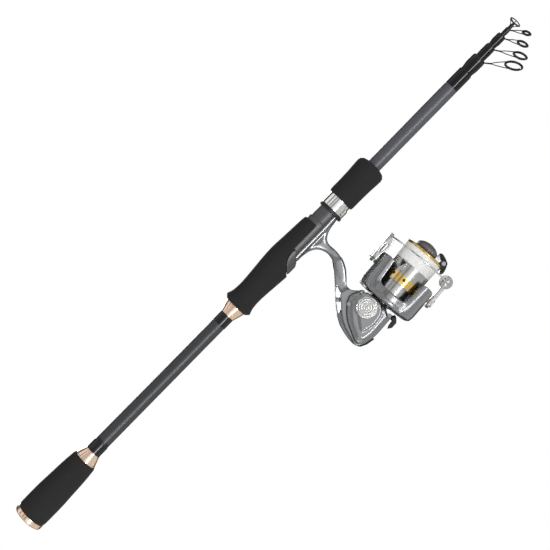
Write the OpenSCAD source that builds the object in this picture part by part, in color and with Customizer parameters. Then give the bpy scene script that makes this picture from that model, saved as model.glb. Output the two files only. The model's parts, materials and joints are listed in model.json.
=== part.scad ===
// Telescopic fishing rod with a spinning reel, closed for carrying.
// +X runs along the rod from the butt to the tip, the reel hangs towards -Z,
// and the crank is on the +Y side. The origin is the centre of the butt end.

/* [Rod tubes] */
// Outer diameter of the base tube
base_d = 14.2; // [14:0.1:14.6]
// Wall of the base tube
base_wall = 0.9; // [0.7:0.1:1]
// Front end of the base tube, where the first collar starts
base_end = 594.7; // [590:0.1:594.7]
// How far each inner section draws out
section_travel = 470; // [300:10:480]
// Sliding clearance between one section and the next, on the radius
slide_gap = 0.06; // [0.02:0.01:0.1]

/* [Grips] */
// Largest diameter of the rear grip
rear_grip_d = 31.4; // [30:0.1:33]
// Largest diameter of the main grip
main_grip_d = 30.4; // [29:0.1:31]
// Largest diameter of the foregrip
foregrip_d = 30.4; // [29:0.1:31]

/* [Reel seat] */
// Diameter over the thread of the reel seat
seat_d = 20.4; // [20:0.1:20.8]
// Radius of the curved bed that the reel foot rests on
foot_bed_r = 9.1; // [8.8:0.1:9.2]
// Level of the seat's cut-away edge beside the foot, below the rod axis
seat_flat = 5.9; // [5.5:0.1:6.2]
// Pitch of the locking thread
thread_pitch = 2; // [1.5:0.5:2.5]

/* [Guides] */
// Turn of the guides about the rod, towards -Y
guide_turn = 30; // [0:5:60]
// Radius of the guide wire
guide_wire_r = 0.5; // [0.4:0.05:0.6]
// Inner radius of the tip ring
tip_bore_r = 4.6; // [4:0.1:4.8]

/* [Reel] */
// Distance from the rod axis down to the spool axis, measured at the crank
reel_drop = 97.1; // [95:0.1:99]
// Place of the crank along the rod
reel_x = 369.3; // [368:0.1:370]
// Tilt of the spool axis towards the rod tip
reel_tilt = 4; // [2:0.5:5]
// Height of the crank axis above the spool axis
crank_rise = 9; // [8:0.5:10]

/* [Rotor and bail] */
// Outer radius of the rotor arms
rotor_r = 32; // [31:0.1:32.3]
// Distance of the bail pivot in front of the crank axis
bail_pivot_x = 43; // [42:0.5:44]
// Radius of the bail wire's bow
bail_bow_r = 34.2; // [34:0.1:35]
// Thickness of the bail wire
bail_wire_d = 1.6; // [1.2:0.1:2]

/* [Spool] */
// Outer radius of the spool skirt
skirt_r = 20.2; // [19.8:0.1:20.6]
// Radius of the gold lip
lip_r = 20.9; // [20.6:0.1:21.2]
// Radius of the drag knob
drag_knob_r = 12; // [11:0.5:12]

/* [Crank] */
// Distance from the crank axis to the knob
crank_reach = 91; // [70:1:95]
// Angle of the crank arm below the rod's direction, at rest
crank_angle = 18.5; // [0:0.5:40]

/* [Hidden] */

smooth = 96;
small = 48;
far = 60;

// Places along the rod
cap_end = 5.4;
tube_start = 5.8;
grip_round_x = [10, 30];
rear_grip_end = 78.5;
rear_collar_end = 89.5;
rear_winding_end = 101.5;
front_winding_x = [259.4, 271.2];
main_grip_x = [282.6, 390.5];
seat_x = [334, 452];
hood_x = [411.6, 424.4];
foregrip_x = [424.6, 469.5];
foot_x = [348, 416.5];
foot_w = 14;
foot_r = 11.6;
foot_end_t = 1.5;

base_r = base_d / 2;
base_bore = base_r - base_wall;
seat_r = seat_d / 2;

// Each inner section: [start, collar start, collar end, tube radius, wall, collar radius]
sections = [
    [20, 595, 613, 5.85, 0.6, 7.1],
    [24, 613.3, 629, 4.8, 0.55, 5.15],
    [28, 629.3, 643.5, 3.8, 0.55, 4.6],
    [32, 643.8, 653, 2.2, 0.45, 2.6],
    [36, 653.3, 656, 1.3, 1.3, 1.9]];
flare_len = 12;

// Each guide: [foot x, foot radius, ring x, ring distance from the rod axis, ring outer radius]
guides = [
    [611.5, 6.5, 626.6, 32.1, 9.2],
    [627.6, 4.8, 637.9, 29.5, 7.6],
    [642.1, 4.2, 648.4, 22.4, 6.2],
    [652, 2.3, 658.9, 17.4, 4.9]];
tip_ring_x = 661.2;
insert_w = 1.1;
insert_h = 1.6;

// Reel outlines in [x, z], measured from the spool axis under the crank
housing_outline = [[-34.5, -5.5], [-31.8, -10], [-26.3, -12.9], [-17.9, -15.2], [-8, -15.9],
    [12.6, -15.7], [12.6, 20], [3.4, 28.6], [3.1, 33.3], [-5.5, 36.6], [-8.8, 34], [-11.9, 30.4],
    [-15.9, 26.9], [-21, 21.5], [-26, 14.5], [-29.6, 6], [-31.5, 0]];
cavity_outline = [[-26, -5], [-22, -10.5], [-10, -13.4], [11.3, -13.4], [11.3, 18.5],
    [3, 24.5], [-6, 25.5], [-14, 20], [-21, 11]];
rib_outline = [[-34.5, -5.5], [-33.9, 1.6], [-31.9, 9.1], [-28.9, 17], [-23.7, 24.7], [-15.5, 33.7],
    [-7.3, 41.6], [0, 48.3], [8, 55.8], [13.2, 61.6], [20, 56], [14, 45.9], [7.8, 39.8], [3.8, 36.2],
    [3.1, 33.3], [-9, 20], [-26, 0]];
window_outlines = [[[-21, 25.2], [-15.4, 31.6], [-14.6, 33], [-12, 30.4], [-15.9, 26.8]],
    [[-11, 36.4], [-6.9, 40.2], [-2.9, 41.9], [-5.7, 36.8], [-8.8, 34]]];
stem_outline = [[8, 55.8], [13.2, 61.6], [15, 67.7], [14.9, 72.5], [12.4, 78.8], [7, 83.2], [-2, 86.6],
    [-2, 87.3], [42, 84.2], [42, 83.6], [36, 83.2], [28, 80.6], [23.9, 77.5],
    [22.2, 73], [22.6, 67.2], [21.6, 59.6], [18.1, 50.4], [14, 45.9]];
cover_outline = [[-33, -5], [-30.8, -9.4], [-25.8, -12.2], [-17.9, -14.4], [-8, -15], [11.9, -14.9],
    [11.9, 19], [3, 27.4], [-5, 28.5], [-14, 22.5], [-22.5, 14], [-28, 4]];
v_rib_outline = [[-22, -1.6], [-11.4, 12.5], [-4, 21.8], [2.5, 23.6], [2, 21.6], [-3, 19.6], [-10, 10.4],
    [-19.2, -1.6], [-9, -6.4], [4, -6.3], [11.9, -0.6], [11.9, -3.2], [4.5, -8.6], [-9, -8.6]];
heel_outline = [[-34.6, -5.7], [-32.3, -11.2], [-26.6, -14.6], [-17.9, -16.8], [-17.9, -15.3],
    [-26.3, -13], [-31.9, -10.1]];

body_y = [-9, 15.5];
cover_y = [-16, -9];
crank_r = 3;
bearing_r = 6;
shaft_r = 2;
rotor_x = [13.2, 51];
rotor_base_end = 25;
cup_r = 18;
skirt_x = [35.5, 57];
lip_x = [73.2, 76];
bail_plate_z = [32.6, 36.6];
bow_centre_y = -5.4;
bow_x = 66;
roller_tilt = 12;
roller_at = [66, -7, -34];
arm_y = 50;
knob_y = [56, 80];
knob_at = [crank_reach * cos(crank_angle + reel_tilt),
    crank_rise - crank_reach * sin(crank_angle + reel_tilt)];
skirt_holes = 10;
hole_x = 41.5;
hole_r = 1.5;
clip_angle = 31;
cover_screws = [[-27.5, -6.6], [8, -12.2], [-8.5, 23.6]];
rod_z = -7;
gear_teeth = 47;
pinion_teeth = 9;

// A solid turned about the rod's direction, from [radius, x] points
module turned(points, facets = smooth) {
    rotate([0, 90, 0]) rotate_extrude($fn = facets) polygon(points);
}

// A plain ring or disc about the rod's direction
module ring_x(x0, x1, r, bore = 0, facets = smooth) {
    translate([x0, 0, 0]) rotate([0, 90, 0]) difference() {
        cylinder(r = r, h = x1 - x0, $fn = facets);
        if (bore > 0) translate([0, 0, -1]) cylinder(r = bore, h = x1 - x0 + 2, $fn = facets);
    }
}

// The same along +Y
module ring_y(y0, y1, r, bore = 0, facets = small) {
    translate([0, y0, 0]) rotate([-90, 0, 0]) difference() {
        cylinder(r = r, h = y1 - y0, $fn = facets);
        if (bore > 0) translate([0, 0, -1]) cylinder(r = bore, h = y1 - y0 + 2, $fn = facets);
    }
}

// The outline of a gear with straight-sided teeth
function gear_points(teeth, root_r, tip_r) = [for (i = [0 : teeth - 1])
    for (side = [[0, root_r], [0.22, tip_r], [0.5, tip_r], [0.72, root_r]])
        side[1] * [cos((i + side[0]) * 360 / teeth), sin((i + side[0]) * 360 / teeth)]];

// A flat shape drawn in [x, z], given a thickness along Y
module slab_y(y0, y1) {
    translate([0, y1, 0]) rotate([90, 0, 0]) linear_extrude(height = y1 - y0) children();
}

// A box from its low corner to its high corner
module block(low, high) {
    translate(low) cube(high - low);
}

// A round bar in the XY plane between two points
module bar(from, to, r) {
    run = to - from;
    translate([from[0], from[1], 0]) rotate([0, 0, atan2(run[1], run[0])]) rotate([0, 90, 0])
        cylinder(r = r, h = norm(run), $fn = 24);
}

// Places children in the reel's own frame, with the spool axis along X
module in_reel() {
    translate([reel_x, 0, -reel_drop]) rotate([0, -reel_tilt, 0]) children();
}

// Places children on the crank axis
module on_crank() {
    in_reel() translate([0, 0, crank_rise]) children();
}

// Turns children so that their Z axis is the line roller's, in the reel's own frame
module roller_axis() {
    translate(roller_at) rotate([90 - roller_tilt, 0, 0]) children();
}

// Places children on the line roller's axis
module on_roller() {
    in_reel() roller_axis() children();
}

// ---- rod ----

module butt_cap() {
    color("#c79a78") union() {
        turned([[0, 0], [14.2, 0], [15, 0.7], [15.3, 1.6], [15.3, cap_end], [0, cap_end]]);
        ring_x(cap_end - 0.1, 16, base_bore - 0.08);
    }
}

module base_tube() {
    color("#4a4a4d") difference() {
        ring_x(tube_start, base_end, base_r);
        ring_x(tube_start - 1, base_end - 14, base_bore);
        ring_x(base_end - 15, base_end + 1, sections[0][3] + slide_gap);
    }
}

module rear_grip() {
    r = rear_grip_d / 2;
    color("#2b2b2b") turned([[base_r, cap_end + 0.3], [r - 1.1, cap_end + 0.3], [r - 0.2, 8],
        [r, grip_round_x[0]], [r, grip_round_x[1]], [r - 0.4, 38], [r - 0.9, 47.5],
        [r - 1.3, 57], [r - 1.9, 66.5], [r - 2.8, 76], [r - 3.5, rear_grip_end],
        [base_r, rear_grip_end]]);
}

module rear_collar() {
    color("#c79a78") turned([[base_r, rear_grip_end], [11.5, rear_grip_end], [7.9, rear_collar_end],
        [base_r, rear_collar_end]]);
}

module rod_windings() {
    color("#151515") union() {
        ring_x(rear_collar_end, rear_winding_end, base_r + 0.5, base_r);
        ring_x(front_winding_x[0], front_winding_x[1], base_r + 0.4, base_r);
    }
}

module middle_collar() {
    color("#c79a78") turned([[base_r, front_winding_x[1]], [7.8, front_winding_x[1]],
        [10.7, main_grip_x[0]], [base_r, main_grip_x[0]]]);
}

module main_grip() {
    r = main_grip_d / 2;
    color("#2b2b2b") difference() {
        turned([[base_r, main_grip_x[0]], [r - 3.4, main_grip_x[0]], [r - 0.1, 286], [r - 1.9, 291],
            [r - 2.7, 297], [r - 2.8, 304], [r - 2.2, 313.5], [r - 1.4, 323], [r - 0.6, 332.5],
            [r - 0.2, 340], [r, 350], [r - 0.7, 361], [r - 1.1, 370], [r - 1.8, 384],
            [r - 2.8, main_grip_x[1]], [base_r, main_grip_x[1]]]);
        ring_x(seat_x[0], main_grip_x[1] + 1, seat_r + 1);
        slab_y(-far, far) polygon([[337, -far], [337, -14], [341, -9.5], [346, -4.6],
            [352, -1.8], [360, -1.2], [far * 10, -1.2], [far * 10, -far]]);
    }
}

// The room around the foot, outside its curved bed
module foot_pocket(x0, x1, width, r) {
    intersection() {
        ring_x(x0, x1, r, foot_bed_r);
        block([x0 - 1, -width / 2, -far], [x1 + 1, width / 2, -seat_flat]);
    }
}

module reel_seat() {
    hood_edge = [[337.4, -14], [341.3, -9.7], [346.2, -4.8], [352.2, -2], [360, -1.5], [360, -5.9],
        [357, -6.4], [350.5, -14], [344, -14.4]];
    color("#4c4c4e") difference() {
        union() {
            ring_x(seat_x[0], main_grip_x[1] + 4.5, seat_r + 1);
            ring_x(main_grip_x[1] + 4, seat_x[1], seat_r);
            intersection() {
                slab_y(-far, far) polygon(hood_edge);
                ring_x(336, 362, 14.4);
            }
        }
        ring_x(seat_x[0] - 1, seat_x[1] + 1, base_r);
        foot_pocket(foot_x[0] - 0.3, 362, foot_w + 0.8, foot_r + 0.4);
        foot_pocket(359.8, foot_x[1] + 8.2, far, far);
        for (x = [foot_x[1] + 10 : thread_pitch : seat_x[1] - 2]) {
            ring_x(x, x + thread_pitch / 2, seat_r + 1, seat_r - 0.5, small);
        }
    }
}

// Cuts the bore and the foot pocket out of the sliding hood and its ring
module hood_cut() {
    ring_x(hood_x[0] - 9, hood_x[1] + 1, seat_r + 0.08);
    foot_pocket(hood_x[0] - 9, foot_x[1] + 1, foot_w + 0.8, foot_r);
}

module hood() {
    color("#d8d8d4") difference() {
        union() {
            ring_x(hood_x[0], hood_x[1], 12);
            translate([0, 0, -3.6]) ring_x(hood_x[0], hood_x[1] - 4, 9.6);
        }
        hood_cut();
    }
}

module hood_ring() {
    color("#161616") difference() {
        union() {
            ring_x(hood_x[0] - 3.1, hood_x[0], 12.1);
            translate([0, 0, -3.6]) ring_x(hood_x[0] - 3.1, hood_x[0], 10.2);
        }
        hood_cut();
    }
}

module lock_nut() {
    color("#3a3a3c") ring_x(foregrip_x[0], 449, 12, seat_r + 0.06);
}

module foregrip() {
    r = foregrip_d / 2;
    color("#2b2b2b") difference() {
        turned([[7.6, foregrip_x[0]], [r - 1.8, foregrip_x[0]], [r - 1.2, foregrip_x[0] + 1.6],
            [r - 1.1, 437], [r - 0.7, 451], [r, 463.5], [r - 0.6, 466], [r - 2.8, 468.3],
            [r - 6.5, foregrip_x[1]], [7.6, foregrip_x[1]]]);
        ring_x(foregrip_x[0] - 1, 449, 12);
        ring_x(foregrip_x[0] - 1, 454, seat_r + 0.3);
    }
}

// One inner section: a flared tail, a straight tube and a swollen collar with the next section's bore
module section(i) {
    s = sections[i];
    outer_bore = i == 0 ? base_bore : sections[i - 1][3] - sections[i - 1][4];
    bore = s[3] - s[4];
    nose = 0.9;
    difference() {
        turned([[0, s[0]], [outer_bore - 0.08, s[0]], [outer_bore - 0.08, s[0] + flare_len],
            [s[3], s[0] + flare_len + 2], [s[3], s[1]], [s[5] - nose / 3, s[1]], [s[5], s[1] + nose],
            [s[5], s[2] - 2 * nose], [s[5] - nose / 2, s[2]], [0, s[2]]]);
        if (i < len(sections) - 1) {
            ring_x(s[0] - 1, s[1], bore);
            ring_x(s[1] - 1, s[2] + 1, sections[i + 1][3] + slide_gap);
        }
    }
}

module section_2() { color("#303032") section(0); }
module section_3() { color("#303032") section(1); }
module section_4() { color("#303032") section(2); }
module section_5() { color("#303032") section(3); }
module section_6() { color("#303032") section(4); }

// Places children in the leaning plane of a guide, with the foot at the origin and +X to the ring
module in_guide(g) {
    lean = atan2(g[3] - g[1], g[2] - g[0]);
    rotate([-guide_turn, 0, 0]) translate([g[0], 0, -g[1]]) rotate([0, lean, 0]) children();
}

// The twin-wire frame of a guide, with the hoop that holds its ring
module guide_frame(g) {
    reach = norm([g[2] - g[0], g[3] - g[1]]);
    hoop_r = g[4] - guide_wire_r;
    spread = 52;
    color("#1c1c1c") in_guide(g) {
        translate([reach, 0, 0]) rotate_extrude($fn = small)
            translate([hoop_r, 0]) circle(r = guide_wire_r, $fn = 24);
        for (side = [-1, 1]) {
            bar([-1, side * 0.8], [reach - hoop_r * cos(spread), side * hoop_r * sin(spread)],
                guide_wire_r - 0.05);
        }
    }
}

// The hard ring inside a guide's hoop
module guide_ring(g) {
    reach = norm([g[2] - g[0], g[3] - g[1]]);
    outer = g[4] - 2 * guide_wire_r;
    color("#3a3d42") in_guide(g) translate([reach, 0, -insert_h / 2]) difference() {
        cylinder(r = outer, h = insert_h, $fn = small);
        translate([0, 0, -1]) cylinder(r = outer - insert_w, h = insert_h + 2, $fn = small);
    }
}

module guide_2() { guide_frame(guides[0]); }
module guide_3() { guide_frame(guides[1]); }
module guide_4() { guide_frame(guides[2]); }
module guide_5() { guide_frame(guides[3]); }
module guide_ring_2() { guide_ring(guides[0]); }
module guide_ring_3() { guide_ring(guides[1]); }
module guide_ring_4() { guide_ring(guides[2]); }
module guide_ring_5() { guide_ring(guides[3]); }

module tip_frame() {
    hoop_r = tip_bore_r + insert_w - 0.3 + guide_wire_r;
    color("#1c1c1c") union() {
        translate([tip_ring_x, 0, 0]) rotate([0, 90, 0]) rotate_extrude($fn = small)
            translate([hoop_r, 0]) circle(r = guide_wire_r, $fn = 24);
        for (turn = [0 : 90 : 270]) {
            rotate([turn, 0, 0]) bar([655.4, 1.2], [tip_ring_x - 0.08, hoop_r + 0.08], guide_wire_r - 0.15);
        }
    }
}

module tip_ring() {
    color("#3a3d42") ring_x(tip_ring_x - 0.2, tip_ring_x + insert_h / 2,
        tip_bore_r + insert_w - 0.3, tip_bore_r, small);
}

// ---- reel body ----

module reel_body() {
    color("#8f9092") union() {
        in_reel() difference() {
            union() {
                slab_y(body_y[0], body_y[1]) polygon(housing_outline);
                slab_y(-5, 5) difference() {
                    polygon(rib_outline);
                    for (w = window_outlines) polygon(w);
                }
                slab_y(-4.5, 4.5) polygon(stem_outline);
                ring_x(12.4, 21.4, 11);
                translate([0, 0, crank_rise]) ring_y(body_y[1] - 1, body_y[1] + 4.5, 9);
            }
            slab_y(body_y[0] - 1, body_y[1] - 2.5) polygon(cavity_outline);
            ring_x(10, 22, 8);
            translate([0, 0, crank_rise]) ring_y(body_y[1] - 4, body_y[1] + 2.5, bearing_r);
            translate([0, 0, crank_rise]) ring_y(body_y[1], body_y[1] + 5, 3.6);
            translate([9, 0, -18]) cylinder(r = 1.56, h = 4.1, $fn = small);
            translate([0, 0, rod_z]) ring_x(-27, 12.4, 1, 0, 24);
            translate([-6, 0, 0]) ring_y(10, body_y[1] - 0.8, 1.66);
        }
        intersection() {
            turned([[foot_bed_r + 0.1, foot_x[0]], [foot_bed_r + foot_end_t, foot_x[0]],
                [foot_r, foot_x[0] + 8], [foot_r, foot_x[1] - 20],
                [foot_bed_r + foot_end_t, foot_x[1]], [foot_bed_r + 0.1, foot_x[1]]]);
            block([foot_x[0] - 1, -foot_w / 2, -far], [foot_x[1] + 1, foot_w / 2, 0]);
        }
    }
}

module side_cover() {
    color("#98999b") in_reel() difference() {
        union() {
            slab_y(cover_y[0], cover_y[1]) polygon(cover_outline);
            slab_y(cover_y[0] - 1, cover_y[0] + 0.1) polygon(v_rib_outline);
            translate([0, 0, crank_rise]) ring_y(cover_y[0] - 0.8, cover_y[0] + 1, 11.2);
        }
        slab_y(cover_y[0] + 2, cover_y[1] + 1) polygon(cavity_outline);
        translate([0, 0, crank_rise]) ring_y(cover_y[0] - 2, cover_y[0] + 6, bearing_r + 0.02);
        for (p = cover_screws) translate([p[0], 0, p[1]]) ring_y(cover_y[0] - 2, cover_y[1] + 1, 1.1);
        for (p = cover_screws) translate([p[0], 0, p[1]]) ring_y(cover_y[0] - 2, cover_y[0] + 1.2, 2.1);
    }
}

module body_screws() {
    color("#cfcfcf") in_reel() for (p = cover_screws) translate([p[0], 0, p[1]]) union() {
        ring_y(cover_y[0] - 0.2, cover_y[0] + 1.2, 2);
        ring_y(cover_y[0] + 1, cover_y[1], 1.05);
    }
}

module heel_guard() {
    color("#121212") in_reel() slab_y(-8, 8) polygon(heel_outline);
}

module gear_bearings() {
    color("#b9bcc0") on_crank() union() {
        ring_y(cover_y[0] + 0.6, cover_y[0] + 4.6, bearing_r, crank_r + 0.05);
        ring_y(body_y[1] - 2.5, body_y[1] + 1.5, bearing_r, crank_r + 0.05);
    }
}

module rotor_bearing() {
    color("#b9bcc0") in_reel() ring_x(12.9, 16.9, 8, 3.66, small);
}

module reverse_clutch() {
    color("#8d7a52") in_reel() ring_x(17.2, 21.2, 8, 3.66, small);
}

module guide_rod() {
    color("#c9ccd0") in_reel() translate([0, 0, rod_z]) ring_x(-27, 12.3, 1, 0, 24);
}

module reverse_lever() {
    color("#141414") in_reel() translate([9, 0, 0]) union() {
        translate([0, 0, -18.6]) cylinder(r = 1.5, h = 4.4, $fn = small);
        translate([0, 0, -19]) cylinder(r = 3, h = 2.6, $fn = small);
        slab_y(-2, 2) polygon([[2.4, -16.6], [2.4, -19.6],
            [-1.6, -23.2], [-8, -23], [-11.6, -20.2], [-9, -18.8], [-2.5, -18.4], [-2.4, -16.6]]);
    }
}

// ---- crank ----

module crank_shaft() {
    color("#c9ccd0") on_crank() union() {
        ring_y(-17.4, 37, crank_r);
        ring_y(body_y[1] + 4.8, 37, 4.6);
        slab_y(7.4, 10) polygon(gear_points(12, 3.2, 3.9));
    }
}

// A wheel with short square teeth on one face, centred on the crank
module drive_gear() {
    color("#b08d4c") on_crank() difference() {
        union() {
            ring_y(-8.6, -6.4, 10.9, crank_r);
            ring_y(-6.5, -5.4, 10.9, 7.6);
            for (i = [0 : gear_teeth - 1]) {
                rotate([0, i * 360 / gear_teeth, 0]) block([7.8, -5.5, -0.3], [10.6, -4.7, 0.3]);
            }
        }
        ring_y(-10, 0, crank_r);
    }
}

module crank_cap() {
    color("#dcdcd8") on_crank() difference() {
        union() {
            ring_y(-20.6, -17.4, 10.6, 0, smooth);
            ring_y(-21.4, -20.4, 8.4, 0, smooth);
        }
        for (groove = [3.2, 5.8]) ring_y(-22, -21, groove + 0.5, groove, smooth);
        for (turn = [135, 315]) rotate([0, turn, 0]) block([7.2, -23, -3], [8.6, -20.9, 3]);
    }
}

// The arm steps outwards near its hub, so that it passes outside the turning bail
module crank_arm() {
    color("#b4b6b8") on_crank() rotate([0, crank_angle + reel_tilt, 0]) difference() {
        union() {
            ring_y(37, 43, 8, 0, smooth);
            translate([0, 0, 5.5]) rotate([180, 0, 0]) linear_extrude(height = 11)
                polygon([[0, -37.4], [6, -37.4], [24, -arm_y], [crank_reach, -arm_y],
                    [crank_reach, -arm_y - 4], [22, -arm_y - 4], [5, -42.6], [0, -42.6]]);
            translate([crank_reach, 0, 0]) ring_y(arm_y, arm_y + 4, 5.5);
        }
        translate([crank_reach, 0, 0]) ring_y(arm_y - 1, arm_y + 5, 2.2);
    }
}

module knob_post() {
    color("#c9ccd0") in_reel() translate([knob_at[0], 0, knob_at[1]]) union() {
        ring_y(arm_y - 0.5, knob_y[1] - 3, 2.2);
        ring_y(knob_y[1] - 3.1, knob_y[1] - 1.4, 2.9);
    }
}

module handle_knob() {
    profile = [[-10.5, 0], [-9.6, 2.6], [-7, 2.9], [-3, 3.4], [3, 3.4], [7, 2.9], [9.6, 2.6], [10.5, 0],
        [9.6, -2.6], [7, -2.9], [3, -3.4], [-3, -3.4], [-7, -2.9], [-9.6, -2.6]];
    color("#171717") in_reel() translate([knob_at[0], 0, knob_at[1]]) difference() {
        union() {
            rotate([0, -(45 - reel_tilt), 0]) slab_y(knob_y[0] + 1, knob_y[1]) polygon(profile);
            ring_y(knob_y[0] - 1.6, knob_y[1], 3.9);
        }
        ring_y(knob_y[0] - 3, knob_y[1] - 1, 2.26);
        ring_y(knob_y[1] - 3.4, knob_y[1] - 0.8, 3.1);
    }
}

// ---- rotor and bail ----

module pinion() {
    color("#b08d4c") in_reel() difference() {
        union() {
            translate([2.8, 0, 0]) rotate([0, 90, 0]) linear_extrude(height = 9.3)
                polygon(gear_points(pinion_teeth, 3.1, 4.2));
            ring_x(12, 29.5, 3.6, 0, small);
        }
        ring_x(0, 40, shaft_r + 0.06, 0, small);
    }
}

module rotor() {
    color("#8f9092") in_reel() difference() {
        union() {
            turned([[12, rotor_x[0]], [22, rotor_x[0]], [26, rotor_x[0] + 3.5], [26, rotor_base_end - 1.5],
                [24.5, rotor_base_end], [3.6, rotor_base_end], [3.6, rotor_base_end - 3],
                [12, rotor_base_end - 3]]);
            ring_x(rotor_base_end - 1, 45, cup_r, cup_r - 1.3);
            intersection() {
                turned([[25.4, rotor_x[0] + 3], [28, rotor_x[0] + 0.8], [rotor_r - 1.5, rotor_x[0] + 3.6],
                    [rotor_r, rotor_x[0] + 8], [rotor_r, rotor_x[1]], [26.6, rotor_x[1]],
                    [25.4, rotor_base_end]]);
                block([0, -20, -far], [far, 20, far]);
            }
        }
        translate([bail_pivot_x, 0, -far]) cylinder(r = 1.6, h = 2 * far, $fn = small);
    }
}

module rotor_nut() {
    color("#d0d0cc") in_reel() difference() {
        ring_x(rotor_base_end, 29, 6.5, 0, 6);
        ring_x(rotor_base_end - 1, 30, 3.6, 0, small);
    }
}

module bail_screws() {
    color("#cfcfcf") in_reel() for (turn = [0, 180]) translate([bail_pivot_x, 0, 0])
        rotate([turn, 0, 0]) union() {
            translate([0, 0, 26.6]) cylinder(r = 1.6, h = 6, $fn = small);
            translate([0, 0, 32.3]) cylinder(r = 2.4, h = 4.7, $fn = small);
            translate([0, 0, bail_plate_z[1] + 0.2]) cylinder(r = 4, h = 1.1, $fn = small);
        }
}

// One bail arm: a flat plate with round ends, from the pivot to its far end
module bail_plate(z0, z1, angle, reach, end_r) {
    translate([bail_pivot_x, 0, z0]) rotate([0, 0, angle]) linear_extrude(height = z1 - z0) difference() {
        union() {
            circle(r = 6.4, $fn = small);
            translate([reach, 0]) circle(r = end_r, $fn = small);
            polygon([[0, -6.4], [reach, -end_r], [reach, end_r], [0, 6.4]]);
        }
        circle(r = 2.45, $fn = small);
    }
}

module bail_arms() {
    color("#d2d2ce") in_reel() union() {
        difference() {
            bail_plate(bail_plate_z[0], bail_plate_z[1], -21.4, 24.7, 3.2);
            translate([bail_pivot_x, 0, 0]) rotate([0, 0, -21.4]) block([9, -2, 30], [18, 2, 40]);
        }
        difference() {
            union() {
                bail_plate(-bail_plate_z[1], -bail_plate_z[0], -7, 23.3, 4.4);
                roller_axis() translate([0, 0, -4]) cylinder(r = 5, h = 4, $fn = small);
            }
            roller_axis() translate([0, 0, -5]) cylinder(r = 1.4, h = 12, $fn = small);
        }
    }
}

// The bow is an arc in one plane across the spool axis, on the -Y side
module bail_wire() {
    start = 23;
    sweep = 180 - start - 6;
    color("#e2e2de") in_reel() translate([bow_x, bow_centre_y, 0]) rotate([0, -90, 0])
        rotate([0, 0, 180 + start]) rotate_extrude(angle = sweep, $fn = smooth) translate([bail_bow_r, 0])
            circle(r = bail_wire_d / 2, $fn = 24);
}

module roller_cone() {
    color("#e8e8e4") on_roller() union() {
        translate([0, 0, -4]) cylinder(r = 1.4, h = 11.8, $fn = small);
        translate([0, 0, 7.4]) rotate_extrude($fn = small)
            polygon([[0, 0], [6.6, 0], [6.6, 1.2], [3.6, 3.2], [1.4, 4.4], [0, 4.4]]);
    }
}

module line_roller() {
    color("#c8cacc") on_roller() translate([0, 0, 1]) difference() {
        rotate_extrude($fn = small) polygon([[0, 0], [4.2, 0], [3.4, 1.8], [3.4, 4.2], [4.2, 6], [0, 6]]);
        translate([0, 0, -1]) cylinder(r = 1.46, h = 9, $fn = small);
    }
}

// ---- spool and drag ----

module main_shaft() {
    color("#c9ccd0") in_reel() ring_x(-13.5, 82, shaft_r, 0, small);
}

module oscillation_slider() {
    color("#6d6f72") in_reel() difference() {
        block([-13, -4, -9], [-6, 4, 4]);
        ring_x(-14, -5, shaft_r, 0, small);
        translate([0, 0, rod_z]) ring_x(-14, -5, 1.06, 0, 24);
    }
}

module oscillation_gear() {
    color("#b08d4c") in_reel() translate([-6, 0, 0]) union() {
        slab_y(7.4, 10) polygon(gear_points(18, 5.5, 6.6));
        ring_y(9.8, body_y[1] - 1, 1.6);
    }
}

module spool() {
    color("#b9b9b7") in_reel() difference() {
        turned([[shaft_r + 0.06, 54.6], [5, 54.6], [skirt_r - 2.5, 54.6], [skirt_r - 1, 53.5],
            [skirt_r - 1, skirt_x[0]], [skirt_r, skirt_x[0]], [skirt_r, skirt_x[1]],
            [13, skirt_x[1]], [13, 76], [9, 76], [9, 66], [shaft_r + 0.06, 66]]);
        for (i = [0 : skirt_holes - 1]) {
            rotate([2.5 + i * 360 / skirt_holes, 0, 0]) translate([hole_x, 0, 0]) rotate([90, 0, 0])
                translate([0, 0, 17]) cylinder(r = hole_r, h = 5, $fn = 24);
        }
    }
}

// A small wedge on the skirt that the loose end of the line is pulled under
module line_clip() {
    color("#161616") in_reel() rotate([-clip_angle, 0, 0])
        slab_y(-skirt_r - 0.5, -skirt_r + 0.12)
            polygon([[49.5, 0], [55.4, 2.1], [56, 1.6], [56, -1.6], [55.4, -2.1]]);
}

module line_fill() {
    color("#ececea") in_reel() turned([[13, skirt_x[1]], [skirt_r + 0.1, skirt_x[1]],
        [skirt_r + 0.5, lip_x[0]], [13, lip_x[0]]]);
}

module spool_lip() {
    color("#d9a848") in_reel() turned([[13, lip_x[0]], [lip_r - 0.5, lip_x[0]], [lip_r, lip_x[0] + 0.8],
        [lip_r - 0.2, lip_x[1] - 1], [lip_r - 2.2, lip_x[1]], [13, lip_x[1]]]);
}

module drag_washers() {
    pitch = 1.4;
    color("#8c6f45") in_reel() for (x = [66.1 : pitch : 66.1 + 4 * pitch]) {
        ring_x(x, x + 1.2, 8.6, shaft_r + 0.06, small);
    }
}

module drag_knob() {
    color("#77726f") in_reel() difference() {
        union() {
            turned([[0, 77.4], [11, 77.4], [drag_knob_r, 79], [drag_knob_r - 0.4, 80.6], [10.6, 82],
                [7.5, 84], [3.5, 85.2], [0, 85.4]], small);
            ring_x(74.6, 77.5, 8.2, 0, small);
        }
        ring_x(74, 83, shaft_r + 0.06, 0, small);
        ring_x(74, 80, 6.6, 0, small);
    }
}

module drag_spring() {
    turns = 3;
    color("#b0b2b5") in_reel() for (i = [0 : turns - 1])
        translate([75.4 + i * 1.5, 0, 0]) rotate([0, 90, 0]) rotate_extrude($fn = small)
            translate([4.6, 0]) circle(r = 0.5, $fn = 24);
}

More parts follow.
